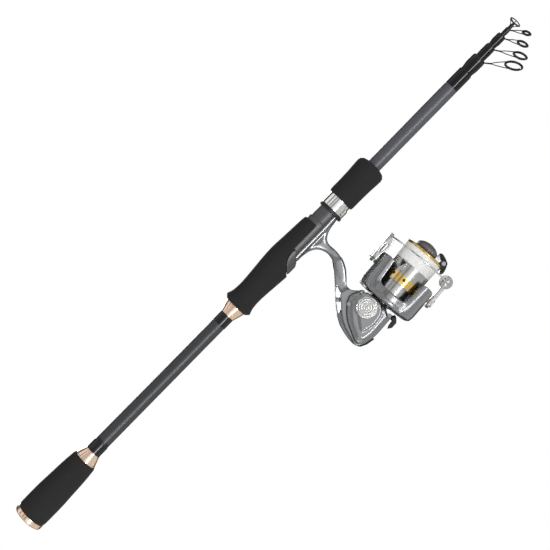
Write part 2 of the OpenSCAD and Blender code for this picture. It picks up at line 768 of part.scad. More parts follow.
butt_cap();
base_tube();
rear_grip();
rear_collar();
rod_windings();
middle_collar();
main_grip();
reel_seat();
hood();
hood_ring();
lock_nut();
foregrip();
section_2();
section_3();
section_4();
section_5();
section_6();
guide_2();
guide_3();
guide_4();
guide_5();
tip_frame();
guide_ring_2();
guide_ring_3();
guide_ring_4();
guide_ring_5();
tip_ring();
reel_body();
side_cover();
heel_guard();
body_screws();
gear_bearings();
rotor_bearing();
reverse_clutch();
guide_rod();
reverse_lever();
crank_shaft();
drive_gear();
crank_cap();
crank_arm();
knob_post();
handle_knob();
pinion();
rotor();
rotor_nut();
bail_screws();
bail_arms();
bail_wire();
roller_cone();
line_roller();
main_shaft();
oscillation_slider();
oscillation_gear();
spool();
line_clip();
line_fill();
spool_lip();
drag_washers();
drag_knob();
drag_spring();
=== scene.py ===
"""The looks of a telescopic fishing rod with a spinning reel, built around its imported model.
Lengths in the shapes below are millimetres, turned to metres when a mesh is made."""
import json
import math

import bmesh
import bpy
import numpy as np
from bpy.props import FloatProperty, FloatVectorProperty, PointerProperty
from mathutils import Matrix, Vector


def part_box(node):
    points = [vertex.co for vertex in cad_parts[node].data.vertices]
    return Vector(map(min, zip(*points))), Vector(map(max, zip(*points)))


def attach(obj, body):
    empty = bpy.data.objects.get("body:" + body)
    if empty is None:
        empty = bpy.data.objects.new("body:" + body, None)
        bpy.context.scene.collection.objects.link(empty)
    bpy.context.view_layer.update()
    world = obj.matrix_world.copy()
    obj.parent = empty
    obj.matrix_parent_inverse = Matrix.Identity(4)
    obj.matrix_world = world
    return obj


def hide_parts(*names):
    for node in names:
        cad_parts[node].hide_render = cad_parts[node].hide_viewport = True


bl_info = {
    "name": "Telescopic rod and spinning reel",
    "version": (1, 0, 0),
    "blender": (4, 5, 0),
    "location": "View3D > Sidebar > Rod",
    "description": "Builds the finished surfaces, materials and studio of a rod and reel",
    "category": "Object",
}

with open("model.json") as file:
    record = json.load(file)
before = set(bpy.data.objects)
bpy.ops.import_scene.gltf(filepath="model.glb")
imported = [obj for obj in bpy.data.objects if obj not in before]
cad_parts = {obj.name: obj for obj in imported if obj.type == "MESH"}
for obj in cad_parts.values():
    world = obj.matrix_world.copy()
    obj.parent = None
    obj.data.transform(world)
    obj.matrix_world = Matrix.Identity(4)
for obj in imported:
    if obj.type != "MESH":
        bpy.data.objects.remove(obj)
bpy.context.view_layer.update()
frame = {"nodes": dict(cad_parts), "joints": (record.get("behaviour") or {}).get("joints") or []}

MM = 0.001
TURN = 2 * math.pi


# ---- places ----

def unit(v):
    """A vector of length 1."""
    v = np.array(v, float)
    return v / np.linalg.norm(v)


JOINTS = {j["name"]: j for j in frame["joints"]}
ALONG = unit(JOINTS["rotor_spin"]["axis"])
UP = unit(JOINTS["bail_flip"]["axis"])
SIDE = np.cross(UP, ALONG)
CRANK_AT = np.array(JOINTS["crank_turn"]["pos_m"]) / MM
SPOOL_AT = np.array(JOINTS["rotor_spin"]["pos_m"]) / MM
REEL_AT = SPOOL_AT + ((CRANK_AT - SPOOL_AT) @ ALONG) * ALONG
CRANK_RISE = float((CRANK_AT - REEL_AT) @ UP)

# A place is an origin and three directions, the first of which is the axis that things turn about
ROD = (np.zeros(3), np.eye(3))
REEL = (REEL_AT, np.array([ALONG, SIDE, UP]))
CRANK = (CRANK_AT, np.array([SIDE, UP, ALONG]))
ROLLER_AXIS = unit(JOINTS["line_roller_spin"]["axis"])
ROLLER = (np.array(JOINTS["line_roller_spin"]["pos_m"]) / MM,
          np.array([ROLLER_AXIS, ALONG, np.cross(ROLLER_AXIS, ALONG)]))


def placed(points, place):
    """Points of a place's own axes, in the object's frame."""
    origin, axes = place
    return origin + points @ axes


def span(node, axis=0):
    """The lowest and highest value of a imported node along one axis, in millimetres."""
    low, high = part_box(node)
    return low[axis] / MM, high[axis] / MM


# ---- surfaces ----

def grid_quads(rows, cols, close_rows=False, close_cols=True):
    """The quads of a grid of points, rows times cols, joined round in the directions that are closed."""
    i = np.arange(rows if close_rows else rows - 1)[:, None]
    j = np.arange(cols if close_cols else cols - 1)[None, :]
    below, right = (i + 1) % rows, (j + 1) % cols
    corners = [i * cols + j, i * cols + right, below * cols + right, below * cols + j]
    return np.stack(corners, -1).reshape(-1, 4)


def rounded(corners, steps=5):
    """An outline of straight runs whose corners are curves. Each corner is (x, y, fillet), and the
    curve starts and ends where an arc of that radius would, bent by the corner as a parabola. A corner
    on the one before it is left out."""
    corners = [c for i, c in enumerate(corners) if i == 0 or c[:2] != corners[i - 1][:2]]
    places = np.array([c[:2] for c in corners], float)
    made = []
    for i, (_, _, fillet) in enumerate(corners):
        here = places[i]
        if fillet == 0 or i in (0, len(corners) - 1):
            made.append(here[None])
            continue
        back, on = places[i - 1] - here, places[i + 1] - here
        back_len, on_len = np.linalg.norm(back), np.linalg.norm(on)
        half = math.acos(np.clip(back @ on / (back_len * on_len), -1, 1)) / 2
        reach = min(fillet / max(math.tan(half), 1e-3), 0.49 * back_len, 0.49 * on_len)
        t = np.linspace(0, 1, steps + 1)[:, None]
        start, end = here + back / back_len * reach, here + on / on_len * reach
        made.append((1 - t) ** 2 * start + 2 * t * (1 - t) * here + t ** 2 * end)
    return np.concatenate(made)


def through(points, per=8):
    """A smooth curve through points: between two of them, the cubic whose slopes are half the chord
    from the point before to the point after."""
    p = np.array(points, float)
    p = np.concatenate([2 * p[:1] - p[1:2], p, 2 * p[-1:] - p[-2:-1]])
    a, b, c, d = (p[i:len(p) - 3 + i, None] for i in range(4))
    t = np.linspace(0, 1, per, endpoint=False)[None, :, None]
    cubic = 0.5 * (2 * b + (c - a) * t + (2 * a - 5 * b + 4 * c - d) * t ** 2
                   + (3 * b - a - 3 * c + d) * t ** 3)
    return np.concatenate([cubic.reshape(-1, p.shape[1]), p[-2:-1]])


def softened(outline, rounds=2):
    """A closed outline with its corners cut off: each side keeps its middle half, again and again."""
    p = np.array(outline, float)
    for _ in range(rounds):
        after = np.roll(p, -1, 0)
        p = np.stack([0.75 * p + 0.25 * after, 0.25 * p + 0.75 * after], 1).reshape(-1, 2)
    return p


def turned(profile, place, steps=96, finish=0, ring=False, flutes=0, flute_from=0.0, flute_depth=0.0):
    """A profile of (along, radius) turned once about the place's first axis. A ring's profile closes on
    itself, and any other starts and ends on the axis. Flutes take a cosine wave off every radius past
    flute_from. finish is one index, or one for each run of the profile."""
    profile = np.array(profile, float)
    angle = np.linspace(0, TURN, steps, endpoint=False)[None]
    x, r = profile[:, :1], profile[:, 1:2]
    r = r - (r > flute_from) * flute_depth * (0.5 - 0.5 * np.cos(flutes * angle))
    local = np.stack([x + 0 * angle, r * np.cos(angle), r * np.sin(angle)], -1)
    rows = len(profile) if ring else len(profile) - 1
    marks = np.repeat(np.broadcast_to(finish, rows), steps)
    return placed(local.reshape(-1, 3), place), grid_quads(len(profile), steps, ring), marks


def wire(path, radius, normal, place=ROD, sides=14, closed=False, finish=0):
    """A round wire: a circle square to the path at each of its points. The circle's first direction is
    the given normal with its part along the path taken off. Open ends are drawn in to a point."""
    path = np.array(path, float)
    radius = np.full(len(path), float(radius))
    if not closed:
        first, last = unit(path[1] - path[0]), unit(path[-1] - path[-2])
        ends = [path[:1] - first * radius[0] * 0.5, path[-1:] + last * radius[-1] * 0.5]
        path = np.concatenate([ends[0], ends[0], path, ends[1], ends[1]])
        radius = np.concatenate([[0, radius[0] * 0.7], radius, [radius[-1] * 0.7, 0]])
        path[1], path[-2] = path[2] - first * radius[2] * 0.4, path[-3] + last * radius[2] * 0.4
        ahead = np.gradient(path, axis=0)
    else:
        ahead = np.roll(path, -1, 0) - np.roll(path, 1, 0)
    ahead /= np.linalg.norm(ahead, axis=1)[:, None]
    first = np.array(normal, float) - (ahead @ np.array(normal, float))[:, None] * ahead
    first /= np.linalg.norm(first, axis=1)[:, None]
    second = np.cross(ahead, first)
    angle = np.linspace(0, TURN, sides, endpoint=False)[None, :, None]
    around = np.cos(angle) * first[:, None] + np.sin(angle) * second[:, None]
    points = path[:, None] + radius[:, None, None] * around
    return placed(points.reshape(-1, 3), place), grid_quads(len(path), sides, closed), finish


# ---- cast solids, given as distance fields ----

def outline_distance(outline, x, z):
    """Distance to a closed outline, less than 0 inside: the least distance to its sides, with the sign
    from how many sides lie to the right."""
    start = np.array(outline, float)
    end = np.roll(start, -1, 0)
    least = np.full(np.broadcast(x, z).shape, 1e9)
    inside = np.zeros(least.shape, bool)
    for (ax, az), (bx, bz) in zip(start, end):
        run_x, run_z = bx - ax, bz - az
        share = np.clip(((x - ax) * run_x + (z - az) * run_z) / (run_x ** 2 + run_z ** 2), 0, 1)
        least = np.minimum(least, (x - ax - share * run_x) ** 2 + (z - az - share * run_z) ** 2)
        if az != bz:
            inside ^= ((az > z) != (bz > z)) & (x < run_x * (z - az) / run_z + ax)
    return np.where(inside, -1, 1) * np.sqrt(least)


def plate(edge, across, half, fillet):
    """A flat plate with round edges, from the distance to its outline and to its middle plane."""
    out, over = edge + fillet, np.abs(across) - half + fillet
    return np.minimum(np.maximum(out, over), 0) + np.hypot(np.maximum(out, 0), np.maximum(over, 0)) - fillet


def pebble(edge, height, reach, depth):
    """A solid whose rim falls away as a quarter ellipse, reach wide and depth high. height is measured
    outwards from the level of its flat top."""
    u = np.maximum(edge + reach, 0) / reach
    v = np.maximum(height + depth, 0) / depth
    return (np.hypot(u, v) - 1) * min(reach, depth)


def joined(a, b, blend=0.5):
    """Both solids, with a fillet of about that width where they meet."""
    near = np.maximum(blend - np.abs(a - b), 0) / blend
    return np.minimum(a, b) - near * near * blend / 4


def cut(a, b, blend=0.3):
    """The first solid without the second, with the edge broken."""
    return -joined(-a, b, blend)


def shared(a, b, blend=0.3):
    """What both solids hold."""
    return -joined(-a, -b, blend)


def gathered(field, at):
    """A field's values between its grid points, weighted by nearness along each axis."""
    base = np.clip(np.floor(at).astype(int), 0, np.array(field.shape) - 2)
    share = at - base
    total = 0
    for corner in np.ndindex(2, 2, 2):
        weight = np.prod(np.where(corner, share, 1 - share), axis=1)
        total = total + weight * field[tuple((base + corner).T)]
    return total


def cast(solid, low, high, step, place, finish=0, calm=2):
    """The skin of a solid: one point in each grid cell that the surface crosses, at the mean of the
    crossings on its edges, one quad for each crossed grid edge, and then a step along the field's
    slope onto the surface. Each round of calm moves every point half way to its neighbours' mean."""
    axes = [np.arange(a, b + step, step) for a, b in zip(low, high)]
    field = solid(*np.meshgrid(*axes, indexing="ij", sparse=True))
    inside = field < 0
    cells = tuple(n - 1 for n in field.shape)
    count = np.zeros(cells, np.int8)
    for corner in np.ndindex(2, 2, 2):
        count += inside[tuple(slice(c, c + n) for c, n in zip(corner, cells))]
    crossed = np.argwhere((count > 0) & (count < 8))
    number = np.full(cells, -1)
    number[tuple(crossed.T)] = np.arange(len(crossed))
    total, hits = np.zeros((len(crossed), 3)), np.zeros(len(crossed))
    quads = []
    for a in range(3):
        b, c = (a + 1) % 3, (a + 2) % 3
        ahead = np.eye(3, dtype=int)[a]
        for side in np.ndindex(2, 2):
            corner = side[0] * np.eye(3, dtype=int)[b] + side[1] * np.eye(3, dtype=int)[c]
            near = field[tuple((crossed + corner).T)]
            far = field[tuple((crossed + corner + ahead).T)]
            hit = (near < 0) != (far < 0)
            share = np.where(hit, near / np.where(hit, near - far, 1), 0)
            total += hit[:, None] * (corner + share[:, None] * ahead)
            hits += hit
        first = tuple(slice(1 if k != a else 0, n) for k, n in enumerate(cells))
        second = tuple(slice(s.start + (k == a), s.stop + (k == a)) for k, s in enumerate(first))
        edges = np.argwhere(inside[first] != inside[second]) + [s.start for s in first]
        along_b, along_c = np.eye(3, dtype=int)[b], np.eye(3, dtype=int)[c]
        around = [edges - off for off in (along_b + along_c, along_c, 0 * ahead, along_b)]
        made = np.stack([number[tuple(cell.T)] for cell in around], -1)
        outward = inside[tuple(edges.T)][:, None]
        quads.append(np.where(outward, made, made[:, ::-1]))
    grid = crossed + total / hits[:, None]
    slope = np.stack([gathered(g, grid) for g in np.gradient(field)], -1)
    pull = gathered(field, grid)[:, None] * slope / np.maximum((slope ** 2).sum(1), 1e-6)[:, None]
    grid -= np.clip(pull, -0.4, 0.4)
    quads = np.concatenate(quads)
    ends, others = quads.ravel(), np.roll(quads, 1, 1).ravel()
    share = np.maximum(np.bincount(ends, minlength=len(grid)) + np.bincount(others, minlength=len(grid)), 1)
    for _ in range(calm):
        mean = [(np.bincount(ends, grid[others, k], len(grid)) + np.bincount(others, grid[ends, k], len(grid)))
                / share for k in range(3)]
        grid = 0.5 * grid + 0.5 * np.stack(mean, -1)
    return placed(np.array(low) + grid * step, place), quads, finish


def piece(name, shells, body, finishes, replaces=(), sharp=32):
    """Makes one mesh object from its shells, merges their seams and poles, turns them outwards, marks
    edges past the sharp angle, and fastens the piece to a body of the frame."""
    mesh = bpy.data.meshes.new(name)
    starts = np.cumsum([0] + [len(s[0]) for s in shells[:-1]])
    points = np.concatenate([s[0] for s in shells]) * MM
    quads = np.concatenate([s[1] + n for s, n in zip(shells, starts)])
    marks = np.concatenate([np.broadcast_to(s[2], len(s[1])) for s in shells]).astype(np.int32)
    mesh.vertices.add(len(points))
    mesh.vertices.foreach_set("co", points.astype(np.float32).ravel())
    mesh.loops.add(quads.size)
    mesh.loops.foreach_set("vertex_index", quads.astype(np.int32).ravel())
    mesh.polygons.add(len(quads))
    mesh.polygons.foreach_set("loop_start", np.arange(0, quads.size, 4, dtype=np.int32))
    mesh.polygons.foreach_set("material_index", marks)
    mesh.update(calc_edges=True)
    work = bmesh.new()
    work.from_mesh(mesh)
    bmesh.ops.remove_doubles(work, verts=work.verts, dist=2e-6)
    bmesh.ops.dissolve_degenerate(work, edges=work.edges, dist=1e-7)
    bmesh.ops.recalc_face_normals(work, faces=work.faces)
    work.to_mesh(mesh)
    work.free()
    mesh.polygons.foreach_set("use_smooth", np.ones(len(mesh.polygons), bool))
    mesh.set_sharp_from_angle(angle=math.radians(sharp))
    for each in finishes:
        mesh.materials.append(FINISHES[each]())
    made = bpy.data.objects.new(name, mesh)
    bpy.context.scene.collection.objects.link(made)
    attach(made, body)
    if replaces:
        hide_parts(*replaces)
    return made


# ---- finishes ----

FINISHES = {}


def linear(code):
    """An sRGB hex colour as linear red, green and blue."""
    parts = np.array([int(code[i:i + 2], 16) for i in (1, 3, 5)]) / 255
    return tuple(float(c) for c in np.where(parts <= 0.04045, parts / 12.92, ((parts + 0.055) / 1.055) ** 2.4))


def add(tree, kind, values=None, links=None, **settings):
    """Adds one node with its settings, its socket values and the sources of its linked sockets."""
    node = tree.nodes.new("ShaderNode" + kind)
    for name, value in settings.items():
        setattr(node, name, value)
    for name, value in (values or {}).items():
        node.inputs[name].default_value = value
    for name, source in (links or {}).items():
        tree.links.new(source, node.inputs[name])
    return node


def kept(make):
    """Makes a finish once, under its own name, and hands the same material to every later piece."""
    def once():
        name = make.__name__
        if name not in bpy.data.materials:
            material = bpy.data.materials.new(name)
            material.use_nodes = True
            material.node_tree.nodes.clear()
            make(material.node_tree)
        return bpy.data.materials[name]
    FINISHES[make.__name__] = once
    return once


def coated(tree, low, high, grain, rough, metal=0.0, lift=0.1, spread=0.06, stretch=(1, 1, 1), ior=1.5,
           coat=0.0, extra=None, shade=None):
    """The common make of a finish: noise of the given grain in millimetres runs the colour from low to
    high, the roughness by its spread either way, and a bump of that lift. low and high are hex codes or
    linear colours. extra adds a second height, and shade a colour in place of the noise's."""
    low, high = (linear(c) if isinstance(c, str) else c for c in (low, high))
    where = add(tree, "TexCoord").outputs["Object"]
    sized = add(tree, "Mapping", {"Scale": stretch}, {"Vector": where}).outputs[0]
    noise = add(tree, "TexNoise", {"Scale": 1000 / grain, "Detail": 3.0}, {"Vector": sized}).outputs[0]
    colour = shade or add(tree, "Mix", {"A": (*low, 1), "B": (*high, 1)}, None, data_type="RGBA")
    if not shade:
        tree.links.new(noise, colour.inputs["Factor"])
        colour = colour.outputs["Result"]
    gloss = add(tree, "MapRange", {"From Min": 0.3, "From Max": 0.7, "To Min": max(rough - spread, 0.02),
                                   "To Max": rough + spread}, {"Value": noise}).outputs[0]
    height = noise if extra is None else add(tree, "Math", None, {0: noise, 1: extra}).outputs[0]
    bump = add(tree, "Bump", {"Strength": lift, "Distance": grain * MM * 0.5}, {"Height": height}).outputs[0]
    shader = add(tree, "BsdfPrincipled", {"Metallic": metal, "IOR": ior, "Coat Weight": coat,
                                          "Coat Roughness": 0.08},
                 {"Base Color": colour, "Roughness": gloss, "Normal": bump})
    add(tree, "OutputMaterial", None, {"Surface": shader.outputs[0]})
    return shader


def axis_value(tree, axis):
    """One of an object's own coordinates, in metres."""
    where = add(tree, "TexCoord").outputs["Object"]
    return add(tree, "SeparateXYZ", None, {0: where}).outputs[axis]


def waves(tree, pitch, axes=(1, 0, 0)):
    """Bands a pitch apart, in millimetres, square to a direction of the object."""
    where = add(tree, "TexCoord").outputs["Object"]
    along = add(tree, "VectorMath", {1: axes}, {0: where}, operation="DOT_PRODUCT").outputs["Value"]
    turns = add(tree, "Math", {1: TURN * 1000 / pitch}, {0: along}, operation="MULTIPLY").outputs[0]
    return add(tree, "Math", None, {0: turns}, operation="SINE").outputs[0]


def chosen(name):
    """A colour that the user chose in the sidebar."""
    return tuple(getattr(bpy.context.scene.rod_colours, name))


def scaled(colour, factor):
    """A lighter or darker form of a colour."""
    return tuple(min(c * factor, 1.0) for c in colour)


@kept
def eva_foam(tree):
    """Closed-cell EVA, ground to shape: matt black, with open cells about 0.6 mm wide."""
    where = add(tree, "TexCoord").outputs["Object"]
    cells = add(tree, "TexVoronoi", {"Scale": 1000 / 0.9}, {"Vector": where}).outputs["Distance"]
    shader = coated(tree, scaled(chosen("foam"), 0.82), scaled(chosen("foam"), 1.2), 1.6, 0.86, lift=0.25,
                    extra=cells, ior=1.4)
    shader.inputs["Specular IOR Level"].default_value = 0.2
    shader.inputs["Sheen Weight"].default_value = 0.03
    shader.inputs["Sheen Roughness"].default_value = 0.5


@kept
def rose_gold_plating(tree):
    """Turned aluminium, anodised rose gold: faint tool rings 0.4 mm apart stretch its highlights."""
    coated(tree, scaled(chosen("rose_gold"), 0.96), chosen("rose_gold"), 0.8, 0.19, metal=0.9, lift=0.03,
           extra=waves(tree, 0.4), spread=0.03)


@kept
def carbon_blank(tree):
    """Satin varnish over wrapped carbon cloth: dark grey, paler towards the tip, with a drawn-out
    grain, and the rear winding's black feathering out on to it."""
    x = axis_value(tree, 0)
    where = add(tree, "TexCoord").outputs["Object"]
    ragged = add(tree, "TexNoise", {"Scale": 420.0}, {"Vector": where}).outputs[0]
    edge = add(tree, "Math", {1: 0.004, 2: 0.1025}, {0: ragged}, operation="MULTIPLY_ADD").outputs[0]
    past = add(tree, "Math", None, {0: x, 1: edge}, operation="SUBTRACT").outputs[0]
    bare = add(tree, "MapRange", {"From Min": -0.0006, "From Max": 0.0006}, {"Value": past}).outputs[0]
    onward = add(tree, "MapRange", {"From Min": 0.25, "From Max": 0.5}, {"Value": x}).outputs[0]
    shade = add(tree, "Mix", {"A": (*chosen("blank"), 1), "B": (*scaled(chosen("blank"), 2.1), 1)},
                {"Factor": onward}, data_type="RGBA").outputs["Result"]
    shade = add(tree, "Mix", {"A": (*linear("#0b0b0c"), 1)}, {"Factor": bare, "B": shade},
                data_type="RGBA").outputs["Result"]
    coated(tree, None, None, 1.4, 0.38, metal=0.1, lift=0.005, shade=shade, stretch=(0.2, 1, 1), spread=0.02)


@kept
def brushed_epoxy(tree):
    """Brushed-on epoxy over black paint: deep gloss, with slow ripples 6 mm long."""
    shader = coated(tree, "#060607", "#0c0c0e", 8.0, 0.1, lift=0.015, spread=0.02, coat=0.55)
    shader.inputs["Specular IOR Level"].default_value = 0.1


@kept
def thread_winding(tree):
    """Nylon thread wound tight under epoxy: black gloss with ridges, drawn 0.6 mm apart to show."""
    coated(tree, "#040405", "#0a0a0b", 3.0, 0.2, lift=0.05, spread=0.03,
           extra=waves(tree, 0.6))


@kept
def moulded_seat(tree):
    """Glass-filled nylon, moulded: mid grey and fairly dull, with a fine spark-eroded grain."""
    coated(tree, "#3c3c3e", "#464648", 0.9, 0.36, lift=0.015, spread=0.03)


@kept
def buffed_steel(tree):
    """Stainless steel, buffed to a mirror with faint swirls."""
    coated(tree, "#e2e2e0", "#f6f6f4", 5.0, 0.17, metal=1.0, lift=0.01, spread=0.03)


@kept
def black_rubber(tree):
    """Moulded rubber: black, with a soft sheen and a fine grain."""
    coated(tree, "#0e0e0e", "#1a1a1a", 0.8, 0.5, lift=0.08, ior=1.45)


@kept
def dipped_wire(tree):
    """Drawn wire under black epoxy: near black and glossy along its length."""
    coated(tree, "#050506", "#0d0d0e", 1.5, 0.25, lift=0.02)


@kept
def ring_ceramic(tree):
    """Sintered ceramic, tumbled smooth: charcoal and glassy."""
    coated(tree, "#08090a", "#121316", 1.0, 0.2, lift=0.01, spread=0.03)


@kept
def sprayed_gunmetal(tree):
    """Cast alloy under metallic lacquer: silver grey, with flakes drawn 0.9 mm wide to show."""
    where = add(tree, "TexCoord").outputs["Object"]
    flakes = add(tree, "TexVoronoi", {"Scale": 1000 / 0.9}, {"Vector": where}).outputs["Color"]
    value = add(tree, "SeparateColor", None, {0: flakes}).outputs[0]
    shade = add(tree, "Mix", {"A": (*scaled(chosen("gunmetal"), 0.985), 1),
                              "B": (*scaled(chosen("gunmetal"), 1.015), 1)},
                {"Factor": value}, data_type="RGBA").outputs["Result"]
    coated(tree, None, None, 2.0, 0.24, metal=0.95, lift=0.002, shade=shade, spread=0.01)


@kept
def black_nylon(tree):
    """Moulded nylon: black, with the fine grain of its mould."""
    coated(tree, "#0f0f10", "#1b1b1c", 0.8, 0.32, lift=0.06)


@kept
def ground_steel(tree):
    """Bearing steel, ground: grey, with tool marks 0.3 mm apart."""
    coated(tree, "#9c9fa3", "#c6c9cc", 1.5, 0.25, metal=1.0, lift=0.05, extra=waves(tree, 0.3))


@kept
def cut_brass(tree):
    """Brass, cut on a gear hobber: yellow and slightly dulled by grease."""
    coated(tree, "#96783e", "#bd9a58", 2.0, 0.3, metal=1.0, lift=0.05)


@kept
def chrome_plate(tree):
    """Chrome plate over a casting: near white and softly glossy."""
    coated(tree, "#c2c2c0", "#d4d4d2", 2.5, 0.17, metal=1.0, lift=0.01, spread=0.02)


@kept
def turned_alloy(tree):
    """Aluminium, turned and clear anodised: silver grey with tool rings, drawn 0.5 mm apart to show."""
    coated(tree, "#b2b2b1", "#cfcfcd", 2.0, 0.24, metal=1.0, lift=0.03,
           extra=waves(tree, 0.5, tuple(ALONG)), spread=0.04)


@kept
def gold_anodising(tree):
    """Aluminium, turned and anodised gold: warm yellow under a clear skin."""
    coated(tree, scaled(chosen("gold"), 0.86), scaled(chosen("gold"), 1.08), 1.5, 0.2, metal=1.0, lift=0.03,
           extra=waves(tree, 0.5, tuple(ALONG)), spread=0.04)


@kept
def wound_line(tree):
    """Clear nylon line laid in close turns: milky white, with turns drawn 0.7 mm apart to show."""
    shader = coated(tree, "#f2f2f0", "#fcfcfa", 3.0, 0.3, lift=0.08,
                    extra=waves(tree, 0.7, tuple(ALONG)))
    shader.inputs["Subsurface Weight"].default_value = 0.2
    shader.inputs["Subsurface Radius"].default_value = (0.001, 0.001, 0.001)


@kept
def wool_felt(tree):
    """Pressed wool felt, oiled: brown and matt, with tangled fibres 0.2 mm thick drawn at 0.5 mm."""
    coated(tree, "#6f5634", "#967548", 0.5, 0.9, lift=0.4, ior=1.4)


@kept
def knob_lacquer(tree):
    """Satin metallic lacquer on nylon: warm grey."""
    coated(tree, "#6c6967", "#85817f", 0.9, 0.32, metal=0.7, lift=0.02)


@kept
def hole_shadow(tree):
    """Painted shade in the spool's blind holes: dull dark brown, standing in for the shadow inside a hole."""
    coated(tree, "#1d140c", "#33241a", 1.0, 0.6, lift=0.05)


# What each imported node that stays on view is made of
NODE_FINISHES = {
    "gear_bearings": "ground_steel", "rotor_bearing": "ground_steel", "guide_rod": "ground_steel",
    "crank_shaft": "ground_steel", "knob_post": "ground_steel", "rotor_nut": "ground_steel",
    "main_shaft": "ground_steel", "drag_spring": "ground_steel", "body_screws": "sprayed_gunmetal",
    "bail_screws": "buffed_steel", "reverse_clutch": "cut_brass", "drive_gear": "cut_brass",
    "pinion": "cut_brass", "oscillation_gear": "cut_brass", "oscillation_slider": "black_nylon",
    "drag_washers": "wool_felt", "lock_nut": "moulded_seat"}


# ---- the rod ----

BASE_R = span("base_tube", 2)[1]
BASE_BORE = BASE_R - 0.9
GAP = 0.06

# Each inner section: start, collar start, collar end, tube radius, wall and collar radius
SECTIONS = {
    "section_2": (20, 595, 613, 5.85, 0.6, 7.1), "section_3": (24, 613.3, 629, 4.8, 0.55, 5.15),
    "section_4": (28, 629.3, 643.5, 3.8, 0.55, 4.6), "section_5": (32, 643.8, 653, 2.2, 0.45, 2.6),
    "section_6": (36, 653.3, 656, 1.3, 1.3, 1.9)}

# How far the guides are turned round the rod from straight below it, in degrees
GUIDE_TURN = -30

# Each guide: foot along the rod, foot radius, ring along the rod, ring from the rod, ring radius
GUIDES = {2: (611.5, 6.5, 626.6, 32.1, 9.2), 3: (627.6, 4.8, 637.9, 29.5, 7.6),
          4: (642.1, 4.2, 648.4, 22.4, 6.2), 5: (652, 2.3, 658.9, 17.4, 4.9)}


def rod_radius(y, z):
    """Distance from the rod's axis."""
    return np.hypot(y, z)


def foot_pocket(x, y, z, x0, x1, width, outer):
    """The room left for the reel's foot, outside its round bed and below the seat's flat."""
    r = rod_radius(y, z)
    sides = np.maximum(np.maximum(x0 - x, x - x1), np.abs(y) - width / 2)
    return np.maximum(np.maximum(sides, z + 5.9), np.maximum(9.1 - r, r - outer))


def grip_solid(x, y, z):
    """The main grip: a turned outline, bored, and cut away below a line that bends down to the foot."""
    r = rod_radius(y, z)
    crown = through([(286, 15.1), (291, 13.3), (297, 12.5), (304, 12.4), (313.5, 13), (323, 13.8), (332.5, 14.6),
                     (341, 15.1), (350, 15.2), (361, 14.5), (370, 14.1), (384, 13.4), (389.4, 12.8)], 3)
    outline = [(282.6, BASE_R), (282.6, 11.8), *crown, (390.5, 12), (390.5, BASE_R)]
    solid = outline_distance(outline, x, r)
    solid = cut(solid, np.maximum(334 - x, r - 11.2), 0.2)
    below = [(337, -60), (337, -14), (341, -9.5), (346, -4.6), (352, -1.8), (360, -1.2), (420, -1.2), (420, -60)]
    return cut(solid, outline_distance(below, x, z), 1.0)


def seat_solid(x, y, z):
    """The reel seat: a stepped and threaded barrel with the fixed hood that takes the foot's rear end."""
    r = rod_radius(y, z)
    rear = plate(r - 11.2, x - 364.5, 30.5, 0.4)
    ridge = np.where(x > 427, 0.25 - 0.25 * np.cos(TURN * (x - 427) / 2), 0)
    front = plate(r - 10.2 + ridge, x - 423, 29, 0.4)
    for groove in (396.4, 403.6, 406.2):
        front = cut(front, np.hypot(x - groove, r - 10.4) - 0.5, 0.2)
    edge = softened([(337.4, -14), (341.3, -9.7), (346.2, -4.8), (352.2, -2), (360, -1.5), (360, -5.9),
                     (357, -6.4), (350.5, -14), (344, -14.4)], 1)
    crescent = shared(outline_distance(edge, x, z), plate(r - 14.4, x - 349, 13, 1.0), 1.0)
    solid = np.minimum(joined(rear, crescent, 0.8), front)
    for pocket in ((347.7, 362, 14.8, 12.0), (359.8, 424.7, 120, 120)):
        solid = cut(solid, foot_pocket(x, y, z, *pocket), 0.2)
    return cut(solid, r - BASE_R, 0.1)


def hood_solid(x, y, z, x0, x1, outer, lower, lower_end, fillet):
    """A sliding hood: a sleeve and a lower sleeve round the foot's front end, bored and pocketed."""
    r = rod_radius(y, z)
    sleeve = plate(r - outer, x - (x0 + x1) / 2, (x1 - x0) / 2, fillet)
    under = plate(rod_radius(y, z + 3.6) - lower, x - (x0 + lower_end) / 2, (lower_end - x0) / 2, fillet)
    solid = cut(joined(sleeve, under, 0.8), r - 10.28, 0.15)
    return cut(solid, foot_pocket(x, y, z, 402.6, 417.5, 14.8, 11.6), 0.15)


def guide_place(guide):
    """The leaning plane of a guide: its origin at the foot, its first axis towards the ring."""
    foot, foot_r, ring, reach, _ = guide
    lean = math.atan2(reach - foot_r, ring - foot)
    round_rod = Matrix.Rotation(math.radians(GUIDE_TURN), 3, "X")
    axes = (round_rod @ Matrix.Rotation(lean, 3, "Y")).transposed()
    return np.array(round_rod @ Vector((foot, 0, -foot_r))), np.array(axes)


# ---- the reel ----

